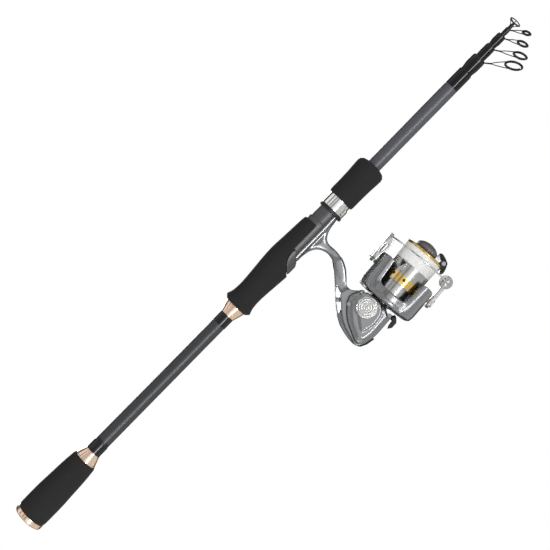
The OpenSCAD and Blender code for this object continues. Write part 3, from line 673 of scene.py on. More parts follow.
HOUSING = [(-34.5, -5.5), (-31.8, -10), (-26.3, -12.9), (-17.9, -15.2), (-8, -15.9), (12.6, -15.7), (12.6, 20),
           (3.4, 28.6), (3.1, 33.3), (-5.5, 36.6), (-8.8, 34), (-11.9, 30.4), (-15.9, 26.9), (-21, 21.5),
           (-26, 14.5), (-29.6, 6), (-31.5, 0)]
CAVITY = [(-26, -5), (-22, -10.5), (-10, -13.4), (11.3, -13.4), (11.3, 18.5), (3, 24.5), (-6, 25.5), (-14, 20),
          (-21, 11)]
RIB = [(-34.5, -5.5), (-33.9, 1.6), (-31.9, 9.1), (-28.9, 17), (-23.7, 24.7), (-15.5, 33.7), (-7.3, 41.6),
       (0, 48.3), (8, 55.8), (13.2, 61.6), (20, 56), (14, 45.9), (7.8, 39.8), (3.8, 36.2), (3.1, 33.3), (-9, 20),
       (-26, 0)]
WINDOWS = [[(-21, 25.2), (-15.4, 31.6), (-14.6, 33), (-12, 30.4), (-15.9, 26.8)],
           [(-11, 36.4), (-6.9, 40.2), (-2.9, 41.9), (-5.7, 36.8), (-8.8, 34)]]
STEM = [(8, 55.8), (13.2, 61.6), (15, 67.7), (14.9, 72.5), (12.4, 78.8), (7, 83.2), (-2, 86.6), (-2, 87.3),
        (42, 84.2), (42, 83.6), (36, 83.2), (28, 80.6), (23.9, 77.5), (22.2, 73), (22.6, 67.2), (21.6, 59.6),
        (18.1, 50.4), (14, 45.9), (5, 38), (0, 42)]
COVER = [(-33, -5), (-30.8, -9.4), (-25.8, -12.2), (-17.9, -14.4), (-8, -15), (11.9, -14.9), (11.9, 19),
         (3, 27.4), (-5, 28.5), (-14, 22.5), (-22.5, 14), (-28, 4)]
SHIELD = [(-22.5, -2.5), (-10.4, 11), (-6, 16.3), (-1, 21.5), (11.4, 21.5), (11.4, 2.5), (10.9, 1), (5.6, -6),
          (-6.9, -7.5), (-16, -5)]
HEEL = [(-34.6, -5.7), (-32.3, -11.2), (-26.6, -14.6), (-17.9, -16.8), (-17.9, -15.3), (-26.3, -13),
        (-31.9, -10.1)]
SCREWS = [(-27.5, -6.6), (8, -12.2), (-8.5, 23.6)]
PIVOT_X = float((np.array(JOINTS["bail_flip"]["pos_m"]) / MM - REEL_AT) @ ALONG)


def body_solid(x, y, z):
    """The reel's body: a rounded housing with its cavity, a rear rib with two windows, a stem with
    sloping sides, the spool bearing's neck, the crank boss and the curved foot."""
    rim = outline_distance(softened(HOUSING, 1), x, z)
    house = np.maximum(pebble(rim, y - 15.5, 9, 7.5), -9 - y)
    rib = outline_distance(RIB, x, z)
    for window in WINDOWS:
        rib = cut(rib, outline_distance(window, x, z) - 0.45, 0.5)
    stem = outline_distance(softened(STEM, 1), x, z)
    half = 1.5 + 3.0 * (1 - np.exp(-0.6 * np.maximum(-stem, 0)))
    solid = joined(house, plate(rib, y, 4.6, 1.4), 1.5)
    solid = joined(solid, np.maximum(stem, 0.85 * (np.abs(y) - half)), 2.5)
    solid = joined(solid, plate(np.hypot(y, z) - 11, x - 16.9, 4.5, 0.5), 0.6)
    crank_r = np.hypot(x, z - CRANK_RISE)
    solid = joined(solid, plate(crank_r - 9, y - 17, 3, 0.6), 1.5)
    solid = cut(solid, np.maximum(outline_distance(CAVITY, x, z), np.abs(y - 0.3) - 10.3), 0.2)
    solid = cut(solid, np.maximum(np.hypot(y, z) - 8, np.abs(x - 17) - 7), 0.2)
    solid = cut(solid, np.maximum(crank_r - 6.02, np.abs(y - 14) - 4), 0.2)
    solid = cut(solid, np.maximum(crank_r - 3.6, 12 - y), 0.2)
    solid = cut(solid, np.maximum(np.hypot(x - 9, y) - 1.58, np.abs(z + 17) - 3.2), 0.1)
    along = REEL_AT[0] + x * ALONG[0] + z * UP[0]
    down = REEL_AT[2] + x * ALONG[2] + z * UP[2]
    r = rod_radius(y, down)
    thick = np.interp(along, (348, 356, 396.5, 416.5), (10.6, 11.6, 11.6, 10.6))
    foot = shared(plate(np.maximum(np.abs(y) - 7, down), along - 382.25, 34.25, 0.6),
                  np.maximum(9.2 - r, r - thick), 0.4)
    return joined(solid, foot, 2.0)


def cover_solid(x, y, z):
    """The side cover: a rounded lid with a raised shield under the crank cap, and its screw seats."""
    rim = outline_distance(softened(COVER, 1), x, z)
    solid = np.maximum(pebble(rim, -16 - y, 7, 5.5), y + 9)
    shield = outline_distance(softened(SHIELD, 1), x, z)
    solid = joined(solid, pebble(shield, -16.95 - y, 2.2, 1.3), 0.5)
    crank_r = np.hypot(x, z - CRANK_RISE)
    solid = joined(solid, plate(crank_r - 11.2, y + 15.9, 0.9, 0.3), 0.3)
    solid = cut(solid, np.maximum(outline_distance(CAVITY, x, z), -13.2 - y), 0.2)
    solid = cut(solid, np.maximum(crank_r - 6.05, y + 10), 0.2)
    for sx, sz in SCREWS:
        away = np.hypot(x - sx, z - sz)
        solid = cut(solid, np.minimum(away - 1.15, np.maximum(away - 2.15, y + 14.8)), 0.1)
    return solid


def rotor_solid(x, y, z):
    """The rotor: a beaded drum and cup turned on the spool axis, and two arms that curve round the
    spool and thin towards their side edges."""
    r = np.hypot(y, z)
    drum = outline_distance([(13.2, 12), (13.2, 21.4), (14.2, 24.6), (15.8, 26), (17.6, 25.7), (18.6, 24.6),
                             (22.2, 25), (24.2, 24.7), (25, 23.6), (25, 3.6), (22, 3.6), (22, 12)], x, r)
    cup = plate(np.abs(r - 17.35) - 0.65, x - 34, 11, 0.2)
    inner, outer = 25.4 + 0 * x, np.interp(x, (14, 16, 21), (29, 31, 32))
    wide = np.interp(x, (14, 30, 51), (21.5, 20.5, 19))
    shell = plate(np.maximum(np.abs(y) - wide, np.maximum(14.4 - x, x - 51)) + 0 * z,
                  r - (inner + outer) / 2, (outer - inner) / 2 - 0.07 * np.maximum(np.abs(y) - 12, 0) ** 1.2, 2.2)
    lip = plate(np.maximum(np.abs(np.abs(y) - wide + 1.6) - 1.6, np.maximum(16 - x, x - 50)) + 0 * z,
                r - 27.2, 1.9, 0.9)
    arm = np.maximum(joined(shell, lip, 0.8), 10 - np.abs(z))
    solid = joined(joined(drum, cup, 0.4), arm, 5.0)
    return cut(solid, np.hypot(x - PIVOT_X, y) - 1.62, 0.1)


def arm_shape(x, y, angle, reach, end_r):
    """A bail arm seen from above: a disc at the pivot, a smaller one at its reach, and the hull."""
    c, s = math.cos(math.radians(angle)), math.sin(math.radians(angle))
    along, across = (x - PIVOT_X) * c + y * s, -(x - PIVOT_X) * s + y * c
    share = np.clip(along / reach, 0, 1)
    return np.hypot(along - share * reach, across) - (6.4 + (end_r - 6.4) * share), along, across


def bail_solid(x, y, z):
    """Both bail arms: flat plates with rounded edges, the upper with a slot, the lower with the line
    roller's seat."""
    upper, along, across = arm_shape(x, y, -21.4, 24.7, 3.2)
    upper = cut(upper, plate(np.abs(across) - 2, along - 13.5, 4.5, 1.2), 0.3)
    top = plate(upper, z - 34.6, 2.0, 0.9)
    wall = outline_distance(softened([(38.6, 30.8), (39.4, 33.4), (44, 36.6), (62.6, 36.6), (67, 32.8),
                                      (66.8, 30.2), (60, 28.6), (54, 28.6), (51.6, 30.6)], 2), x, z)
    wall = cut(wall, outline_distance(softened([(47.4, 32.4), (47.8, 34.6), (57.6, 34.6), (58.6, 31.2),
                                                (54, 31.2)], 1), x, z), 0.3)
    top = joined(top, plate(wall, y + 12.6, 1.5, 0.8), 1.5)
    bridge = plate(np.maximum(np.abs(x - 53) - 13, np.abs(y + 7) - 6), z - 35.4, 1.1, 0.8)
    top = joined(top, bridge, 1.2)
    lower, _, _ = arm_shape(x, y, -7, 23.3, 4.4)
    under = plate(lower, z + 34.6, 2.0, 0.9)
    tilt = math.radians(12)
    along_y, along_z = y + 7, z + 34
    out = -along_y * math.cos(tilt) + along_z * math.sin(tilt)
    away = np.hypot(x - 66, along_y * math.sin(tilt) + along_z * math.cos(tilt))
    under = joined(under, plate(away - 5, out + 2, 2, 0.5), 1.0)
    under = cut(under, np.maximum(away - 1.45, np.abs(out) - 8), 0.1)
    return cut(np.minimum(top, under), np.hypot(x - PIVOT_X, y) - 2.5, 0.1)


def crank_cap_solid(x, y, z):
    """The crank cap, in the crank's own axes: a stepped disc with eight soft flats, ring grooves and
    two notches. x runs along the crank, so the face is at its low end."""
    r = np.hypot(y, z)
    turn = np.arctan2(z, y)
    disc = plate(r - 10.6 + 0.25 * (1 - np.cos(8 * turn)), x + 19, 1.6, 0.6)
    face = plate(r - 8.4, x + 20.4, 1.0, 0.4)
    solid = joined(disc, face, 0.3)
    for groove in (2.2, 4.6, 7.0):
        solid = cut(solid, np.hypot(r - groove, x + 21.5) - 0.4, 0.1)
    for side in (1, -1):
        across, along = (y + z) * 0.7071, (y - z) * 0.7071
        notch = plate(np.abs(across) - 3, along - side * 8.9, 0.8, 0.2)
        solid = cut(solid, np.maximum(notch, x + 19.8), 0.1)
    return solid


def crank_arm_solid(x, y, z):
    """The crank arm: a hub, a bar that steps outwards past the bail and thins, and the knob's eye."""
    bar = outline_distance([(0, 37.4), (6, 37.4), (24, 50), (91, 50), (91, 54), (22, 54), (5, 42.6), (0, 42.6)],
                           x, y)
    arm = plate(bar + 0 * z, z, 5.4 - 0.022 * np.clip(x, 0, 91), 1.2)
    solid = joined(arm, plate(np.hypot(x, z) - 8, y - 40, 3, 0.8), 1.0)
    end = np.hypot(x - 91, z)
    solid = joined(solid, plate(end - 3.8, y - 52, 2, 0.6), 1.0)
    return cut(solid, end - 2.22, 0.1)


def knob_solid(x, y, z):
    """The handle knob: a flat paddle, bowed outwards, on a short neck and bored for its post. x runs
    along the paddle's width, and z = 0.028 x squared - 1 is the middle of its bow."""
    z, straight = z + 1 - 0.028 * x ** 2, z
    half = 3.0 - 0.008 * x ** 2 + 0.3 * np.cos(np.pi * x / 10.5)
    neck = plate(np.hypot(x, straight) - 3.8, y - 59.4, 5.0, 0.6)
    body = plate(np.hypot(np.maximum(np.abs(x) - 7.3, 0), 0 * z) - 3.2, y - 68.5, 11.5, 2.6)
    paddle = shared(body, (np.abs(z) - half) / 1.02, 1.6)
    solid = joined(paddle, neck, 1.2)
    away = np.hypot(x, straight)
    bore = np.minimum(np.maximum(away - 2.3, y - 79), np.maximum(away - 3.1, np.abs(y - 77.9) - 1.3))
    return cut(solid, bore, 0.1)


def lever_solid(x, y, z):
    """The reverse lever: a round foot and a rearward tongue."""
    away = np.hypot(x - 9, y)
    post = np.minimum(plate(away - 1.5, z + 16.4, 2.2, 0.2), plate(away - 3, z + 17.7, 1.3, 0.4))
    tongue = outline_distance([(11.4, -16.6), (11.4, -19.6), (7.4, -23.2), (1, -23), (-2.6, -20.2), (0, -18.8),
                               (6.5, -18.4), (6.6, -16.6)], x, z)
    return joined(post, plate(tongue, y, 2.2, 0.7), 0.4)


def clip_rim_solid(x, y, z):
    """The line clip's surround: a low rounded frame that follows the skirt. -y faces outwards."""
    r = np.hypot(y, z)
    outer = plate(np.abs(z) - 4.4, x - 52.2, 5.2, 2.0)
    inner = plate(np.abs(z) - 3.3, x - 52.4, 4.0, 1.2)
    frame_edge = cut(outer, inner, 0.2)
    return shared(np.maximum(frame_edge, y), np.maximum(r - 20.6, 19.6 - r), 0.3)


def clip_solid(x, y, z):
    """The line clip: a wedge that rises towards the spool's front."""
    r = np.hypot(y, z)
    edge = outline_distance([(49, 0), (55.4, 2.7), (56, 2.2), (56, -2.2), (55.4, -2.7)], x, z)
    top = 20.3 + 0.055 * (x - 49)
    return shared(np.maximum(edge, y), np.maximum(r - top, 20.1 - r), 0.2)


# ---- what the sidebar holds ----

class RodColours(bpy.types.PropertyGroup):
    """The colours of the finishes that set the rod's look"""
    foam: FloatVectorProperty(name="Foam", description="Grip foam", subtype="COLOR", size=3, min=0, max=1,
                              default=linear("#222222"))
    rose_gold: FloatVectorProperty(name="Rose gold", description="Cap and grip collars", subtype="COLOR",
                                   size=3, min=0, max=1, default=linear("#f8d9c0"))
    blank: FloatVectorProperty(name="Blank", description="Rod blank, at the butt end", subtype="COLOR",
                               size=3, min=0, max=1, default=linear("#303134"))
    gunmetal: FloatVectorProperty(name="Gunmetal", description="Reel body and rotor", subtype="COLOR",
                                  size=3, min=0, max=1, default=linear("#98999b"))
    gold: FloatVectorProperty(name="Gold", description="Spool lip and band", subtype="COLOR",
                              size=3, min=0, max=1, default=linear("#f2cf7e"))


class RodSizes(bpy.types.PropertyGroup):
    """Sizes that change the look and not the fit"""
    cast_step: FloatProperty(name="Casting detail", description="Grid step of the cast pieces",
                             default=0.00055, min=0.0003, max=0.002, unit="LENGTH", precision=5)
    guide_wire: FloatProperty(name="Guide wire", description="Diameter of the guides' wire",
                              default=0.001, min=0.0006, max=0.0012, unit="LENGTH", precision=5)
    bail_wire: FloatProperty(name="Bail wire", description="Diameter of the bail wire",
                             default=0.0016, min=0.001, max=0.002, unit="LENGTH", precision=5)
    strip: FloatProperty(name="Strip light", description="Strength of the narrow strip light",
                         default=16.0, min=0.0, max=60.0)


def size(name):
    """A size from the sidebar, in millimetres."""
    return getattr(bpy.context.scene.rod_sizes, name) / MM


class ROD_OT_butt(bpy.types.Operator):
    """Builds the butt cap, the rear grip and its collar"""
    bl_idname = "rod.butt"
    bl_label = "Butt"

    def execute(self, context):
        spigot = BASE_BORE - 0.08
        cap = rounded([(0, 0, 0), (0, 14.2, 0.4), (0.7, 15, 0.4), (1.6, 15.3, 0.4), (4.4, 15.3, 0.1),
                       (4.6, 15.1, 0.1), (4.8, 15.3, 0.1), (5.4, 15.2, 0.1), (5.4, spigot, 0), (16, spigot, 0.4),
                       (16, 0, 0)])
        piece("butt_cap_turned", [turned(cap, ROD)], "butt_cap", ["rose_gold_plating"], ["butt_cap"])
        crown = through([(10, 15.6), (20, 15.66), (30, 15.6), (38, 15.3), (47.5, 14.8), (57, 14.4), (66.5, 13.8),
                         (74, 13.1), (76.4, 12.9)])
        foam = [(5.7, BASE_R), (5.7, 14.4), (6.2, 14.9), (8, 15.5), *crown, (78.2, 12.1), (78.5, 11.8),
                (78.5, BASE_R)]
        piece("rear_grip_foam", [turned(foam, ROD, ring=True)], "rod_handle", ["eva_foam"], ["rear_grip"])
        cone = rounded([(78.5, BASE_R, 0), (78.5, 11.2, 0.1), (78.8, 11.5, 0.2), (79.7, 11.4, 0.2), (80, 11, 0.1),
                        (80.3, 11.1, 0.2), (88.1, 8.2, 0.3), (88.4, 7.9, 0.1), (88.7, 8.1, 0.2), (89.5, 7.9, 0.2),
                        (89.5, BASE_R, 0)])
        piece("rear_collar_turned", [turned(cone, ROD, ring=True)], "rod_handle",
              ["rose_gold_plating"], ["rear_collar"])
        return {"FINISHED"}


class ROD_OT_blank(bpy.types.Operator):
    """Builds the base tube and its windings"""
    bl_idname = "rod.blank"
    bl_label = "Blank"

    def execute(self, context):
        end = span("base_tube")[1]
        tube = rounded([(5.8, BASE_BORE, 0), (5.8, BASE_R, 0.1), (573.8, BASE_R, 0), (574, BASE_R - 0.25, 0.1),
                        (574.6, BASE_R, 0.4), (590, BASE_R, 0.5), (593.6, BASE_R - 0.05, 1.0), (end, 6.4, 0.3),
                        (end, 5.91, 0), (end - 14.5, 5.91, 0), (end - 15, BASE_BORE, 0)])
        marks = (tube[:, 0] > 573.9).astype(int)
        piece("blank_tube", [turned(tube, ROD, ring=True, finish=marks)], "rod_handle",
              ["carbon_blank", "brushed_epoxy"], ["base_tube"])
        shells = []
        for x0, x1, lift in ((89.5, 101.5, 0.5), (259.4, 271.2, 0.4)):
            top = BASE_R + lift
            sleeve = rounded([(x0, BASE_R, 0), (x0, top - 0.1, 0.1), (x0 + 0.6, top, 0.3), (x1 - 1.6, top, 1.2),
                              (x1, BASE_R + 0.08, 0.1), (x1, BASE_R, 0)])
            shells.append(turned(sleeve, ROD, ring=True))
        piece("handle_windings", shells, "rod_handle", ["thread_winding"], ["rod_windings"])
        return {"FINISHED"}


class ROD_OT_grips(bpy.types.Operator):
    """Builds the middle collar, the main grip and the foregrip"""
    bl_idname = "rod.grips"
    bl_label = "Grips"

    def execute(self, context):
        cone = rounded([(271.2, BASE_R, 0), (271.2, 7.8, 0.1), (272, 8, 0.2), (272.3, 7.8, 0.1), (272.6, 8, 0.2),
                        (281.2, 10.6, 0.2), (281.5, 10.3, 0.1), (281.8, 10.7, 0.2), (282.6, 10.6, 0.2),
                        (282.6, BASE_R, 0)])
        piece("middle_collar_turned", [turned(cone, ROD, ring=True)], "rod_handle",
              ["rose_gold_plating"], ["middle_collar"])
        grip = cast(grip_solid, (281.6, -16.2, -16.2), (391.6, 16.2, 16.2), 0.6, ROD)
        piece("main_grip_foam", [grip], "rod_handle", ["eva_foam"], ["main_grip"], sharp=40)
        crown = through([(426.2, 14), (431, 14.1), (437, 14.1), (444, 14.25), (451, 14.5), (458, 14.95),
                         (463.5, 15.2)])
        foam = [(424.6, 12.05), (424.6, 13.2), (425, 13.7), *crown, (466, 14.6), (468.3, 12.4), (469.5, 8.7),
                (469.5, 7.6), (454, 7.6), (454, 10.5), (449, 10.5), (449, 12.05)]
        piece("foregrip_foam", [turned(foam, ROD, ring=True)], "lock_nut", ["eva_foam"], ["foregrip"])
        return {"FINISHED"}


class ROD_OT_seat(bpy.types.Operator):
    """Builds the reel seat, the sliding hood and its rubber ring"""
    bl_idname = "rod.seat"
    bl_label = "Reel seat"

    def execute(self, context):
        seat = cast(seat_solid, (333.4, -15, -15), (452.6, 15, 11.8), 0.5, ROD)
        piece("seat_moulding", [seat], "rod_handle", ["moulded_seat"], ["reel_seat"], sharp=40)

        def steel(x, y, z):
            return hood_solid(x, y, z, 411.6, 424.4, 12, 9.6, 420.4, 0.5)

        def rubber(x, y, z):
            return hood_solid(x, y, z, 408.5, 411.6, 12.1, 10.2, 411.6, 0.4)
        sleeve = cast(steel, (410.8, -12.8, -14), (425.2, 12.8, 12.8), 0.4, ROD, calm=5)
        piece("hood_sleeve", [sleeve], "seat_hood", ["buffed_steel"], ["hood"], sharp=40)
        ring = cast(rubber, (407.8, -12.8, -14.6), (412.3, 12.8, 12.8), 0.4, ROD)
        piece("hood_rubber", [ring], "seat_hood", ["black_rubber"], ["hood_ring"], sharp=40)
        return {"FINISHED"}


class ROD_OT_sections(bpy.types.Operator):
    """Builds the five sliding sections with their wound collars"""
    bl_idname = "rod.sections"
    bl_label = "Sections"

    def execute(self, context):
        bore_before = BASE_BORE
        names = list(SECTIONS)
        for name, (start, c0, c1, tube, wall, r) in SECTIONS.items():
            last = name == names[-1]
            inner = 0 if last else tube - wall
            follows = 0 if last else SECTIONS[names[names.index(name) + 1]][3] + GAP
            low = max(tube, r - 0.9)
            long = c1 - c0
            bump = 0.12 * long
            outside = [(start, inner, 0), (start, bore_before - 0.1, 0.2), (start + 12, bore_before - 0.1, 0.5),
                       (start + 14, tube, 0.5), (c0, tube, 0), (c0, low, 0.15),
                       (c0 + 0.12 * long, low + 0.15, 1.0), (c0 + 0.4 * long, r, 4.0),
                       (c1 - 3 * bump, r, 0.8), (c1 - 2.8 * bump, r - 0.15, 0.1), (c1 - 2.6 * bump, r, 0.3),
                       (c1 - bump, r - 0.06, 0.6), (c1, r - 0.55, 0.2)]
            inside = [(c1, 0, 0)] if last else [(c1, follows, 0), (c0 - 1, follows, 0), (c0 - 1.2, inner, 0)]
            profile = rounded(outside + inside)
            wound = (profile[:, 0] > c1 - 2.7 * bump) & (profile[:, 1] > r - 0.6)
            piece(name + "_tube", [turned(profile, ROD, ring=not last, finish=(wound * 1)[:len(profile) - last])],
                  name, ["brushed_epoxy", "thread_winding"], [name])
            bore_before = tube - wall
        return {"FINISHED"}


class ROD_OT_guides(bpy.types.Operator):
    """Builds the wire guides, their ceramic rings and the tip"""
    bl_idname = "rod.guides"
    bl_label = "Guides"

    def execute(self, context):
        thick = size("guide_wire") / 2
        for number, guide in GUIDES.items():
            origin, axes = guide_place(guide)
            reach = math.hypot(guide[3] - guide[1], guide[2] - guide[0])
            hoop = guide[4] - 0.5
            angle = np.linspace(0, TURN, 72, endpoint=False)
            circle = np.stack([reach + hoop * np.cos(angle), hoop * np.sin(angle), 0 * angle], -1)
            shells = [wire(circle, thick, (0, 0, 1), (origin, axes), closed=True)]
            for side in (-1, 1):
                tip = (reach - hoop * math.cos(math.radians(52)), side * hoop * math.sin(math.radians(52)), 0)
                leg = through([(-1, side * 0.5, 0), (reach * 0.14, side * 0.55, 0), (reach * 0.28, side * 0.9, 0),
                               (reach * 0.45, side * (0.9 + 0.28 * hoop), 0), tip])
                shells.append(wire(leg, thick * 0.9, (0, 0, 1), (origin, axes)))
            body = f"section_{number}"
            piece(f"guide_wires_{number}", shells, body, ["dipped_wire"], [f"guide_{number}"])
            outer = guide[4] - 1.0
            ring = rounded([(0, outer, 0), (-1.1, outer, 0.25), (-1.1, outer - 1.1, 0.5), (1.1, outer - 1.1, 0.5),
                            (1.1, outer, 0.25), (0, outer, 0)])[:-1]
            place = (origin + reach * axes[0], axes[[2, 0, 1]])
            piece(f"guide_insert_{number}", [turned(ring, place, 64, ring=True)], body,
                  ["ring_ceramic"], [f"guide_ring_{number}"])
        angle = np.linspace(0, TURN, 64, endpoint=False)
        circle = np.stack([661.2 + 0 * angle, 5.9 * np.cos(angle), 5.9 * np.sin(angle)], -1)
        shells = [wire(circle, thick, (1, 0, 0), closed=True),
                  turned(rounded([(653.4, 0, 0), (653.4, 1.85, 0.2), (656.4, 1.7, 0.5), (659.6, 1.15, 0.4),
                                  (659.8, 0, 0)]), ROD, 32)]
        for turn in np.radians((0, 90, 180, 270)):
            leg = through([(655.2, 1.1), (656.6, 1.8), (658.2, 3.0), (659.8, 4.7), (661, 5.9)])
            path = np.stack([leg[:, 0], leg[:, 1] * math.cos(turn), leg[:, 1] * math.sin(turn)], -1)
            shells.append(wire(path, thick * 0.8, (0, -math.sin(turn), math.cos(turn))))
        piece("tip_wires", shells, "section_6", ["dipped_wire"], ["tip_frame"])
        ring = rounded([(661.5, 5.38, 0), (661, 5.38, 0.2), (661, 4.6, 0.3), (662, 4.6, 0.3), (662, 5.38, 0.2),
                        (661.5, 5.38, 0)])[:-1]
        piece("tip_insert", [turned(ring, ROD, 64, ring=True)], "section_6", ["ring_ceramic"],
              ["tip_ring"])
        return {"FINISHED"}


class ROD_OT_reel_body(bpy.types.Operator):
    """Builds the reel's body, side cover, heel guard and reverse lever"""
    bl_idname = "rod.reel_body"
    bl_label = "Reel body"

    def execute(self, context):
        step = size("cast_step")
        body = cast(body_solid, (-36, -10, -17.5), (52, 21.2, 91), step, REEL, calm=7)
        piece("reel_casting", [body], "rod_handle", ["sprayed_gunmetal"], ["reel_body"], sharp=40)
        cover = cast(cover_solid, (-34.5, -18.4, -16.5), (13.2, -8.2, 30), 0.4, REEL, calm=6)
        piece("side_lid", [cover], "rod_handle", ["sprayed_gunmetal"], ["side_cover"], sharp=40)

        def heel(x, y, z):
            return plate(outline_distance(HEEL, x, z), y, 8, 0.9)
        piece("heel_pad", [cast(heel, (-35.6, -9, -17.8), (-17, 9, -4.8), 0.35, REEL)], "rod_handle",
              ["black_nylon"], ["heel_guard"], sharp=40)
        piece("lever", [cast(lever_solid, (-3.6, -3.8, -24.2), (13, 3.8, -13.6), 0.3, REEL)], "reverse_lever",
              ["black_nylon"], ["reverse_lever"], sharp=40)
        return {"FINISHED"}


class ROD_OT_crank(bpy.types.Operator):
    """Builds the crank cap, the crank arm and the handle knob"""
    bl_idname = "rod.crank"
    bl_label = "Crank"

    def execute(self, context):
        cap = cast(crank_cap_solid, (-22.2, -11.4, -11.4), (-16.6, 11.4, 11.4), 0.22, CRANK)
        piece("crank_disc", [cap], "crank", ["chrome_plate"], ["crank_cap"], sharp=35)
        angle = math.radians(22.5)
        out = math.cos(angle) * ALONG - math.sin(angle) * UP
        place = (CRANK_AT, np.array([out, SIDE, np.cross(out, SIDE)]))
        points, quads, _ = cast(crank_arm_solid, (-9, 36, -9), (98, 55, 9), 0.5, place)
        knob_at = np.array(JOINTS["handle_knob_spin"]["pos_m"]) / MM
        away = (points[quads].mean(1) - knob_at) * (1, 0, 1)
        boot = np.linalg.norm(away, axis=1) < 9
        piece("crank_bar", [(points, quads, boot * 1)], "crank", ["sprayed_gunmetal", "black_nylon"],
              ["crank_arm"], sharp=40)
        out = unit((1, 0, 1))
        place = (np.array([knob_at[0], 0, knob_at[2]]), np.array([out, SIDE, np.cross(out, SIDE)]))
        knob = cast(knob_solid, (-11.4, 53.4, -5.4), (11.4, 81, 6.6), 0.35, place)
        piece("knob_paddle", [knob], "handle_knob", ["black_nylon"], ["handle_knob"], sharp=50)
        return {"FINISHED"}


class ROD_OT_rotor(bpy.types.Operator):
    """Builds the rotor, the bail arms, the bail wire, its cone and the line roller"""
    bl_idname = "rod.rotor"
    bl_label = "Rotor and bail"

    def execute(self, context):
        points, quads, _ = cast(rotor_solid, (12.4, -27, -33), (52, 27, 33), 0.5, REEL, calm=5)
        local = (points[quads].mean(1) - REEL_AT) @ REEL[1].T
        cup = (local[:, 0] > 25.2) & (np.hypot(local[:, 1], local[:, 2]) < 18.4)
        piece("rotor_casting", [(points, quads, cup * 1)], "rotor",
              ["sprayed_gunmetal", "turned_alloy"], ["rotor"], sharp=40)
        arms = cast(bail_solid, (35.8, -16.4, -40.4), (72.2, 8, 37.4), 0.35, REEL, calm=4)
        piece("bail_castings", [arms], "bail", ["chrome_plate"], ["bail_arms"], sharp=40)
        bow = 34.2
        angle = np.radians(np.linspace(203, 354, 90))
        path = np.stack([66 + 0 * angle, bow * np.sin(angle) - 5.4, bow * np.cos(angle)], -1)
        piece("bail_bow", [wire(path, size("bail_wire") / 2, (1, 0, 0), REEL)], "bail",
              ["buffed_steel"], ["bail_wire"])
        cone = rounded([(-4, 0, 0), (-4, 1.4, 0.2), (7.4, 1.4, 0), (7.4, 6.5, 0.2), (8.1, 6.6, 0.2),
                        (8.7, 6.5, 0.5), (10.4, 4, 1.5), (11.8, 1.4, 0.8), (11.8, 0, 0)])
        piece("roller_cap", [turned(cone, ROLLER, 64)], "bail", ["chrome_plate"],
              ["roller_cone"])
        spool = rounded([(1, 1.46, 0), (1, 4.1, 0.2), (2.6, 3.5, 0.8), (4, 3.35, 1.5), (5.4, 3.5, 0.8),
                         (7, 4.1, 0.2), (7, 1.46, 0)])
        piece("roller_sleeve", [turned(spool, ROLLER, 48, ring=True)], "line_roller",
              ["buffed_steel"], ["line_roller"])
        return {"FINISHED"}


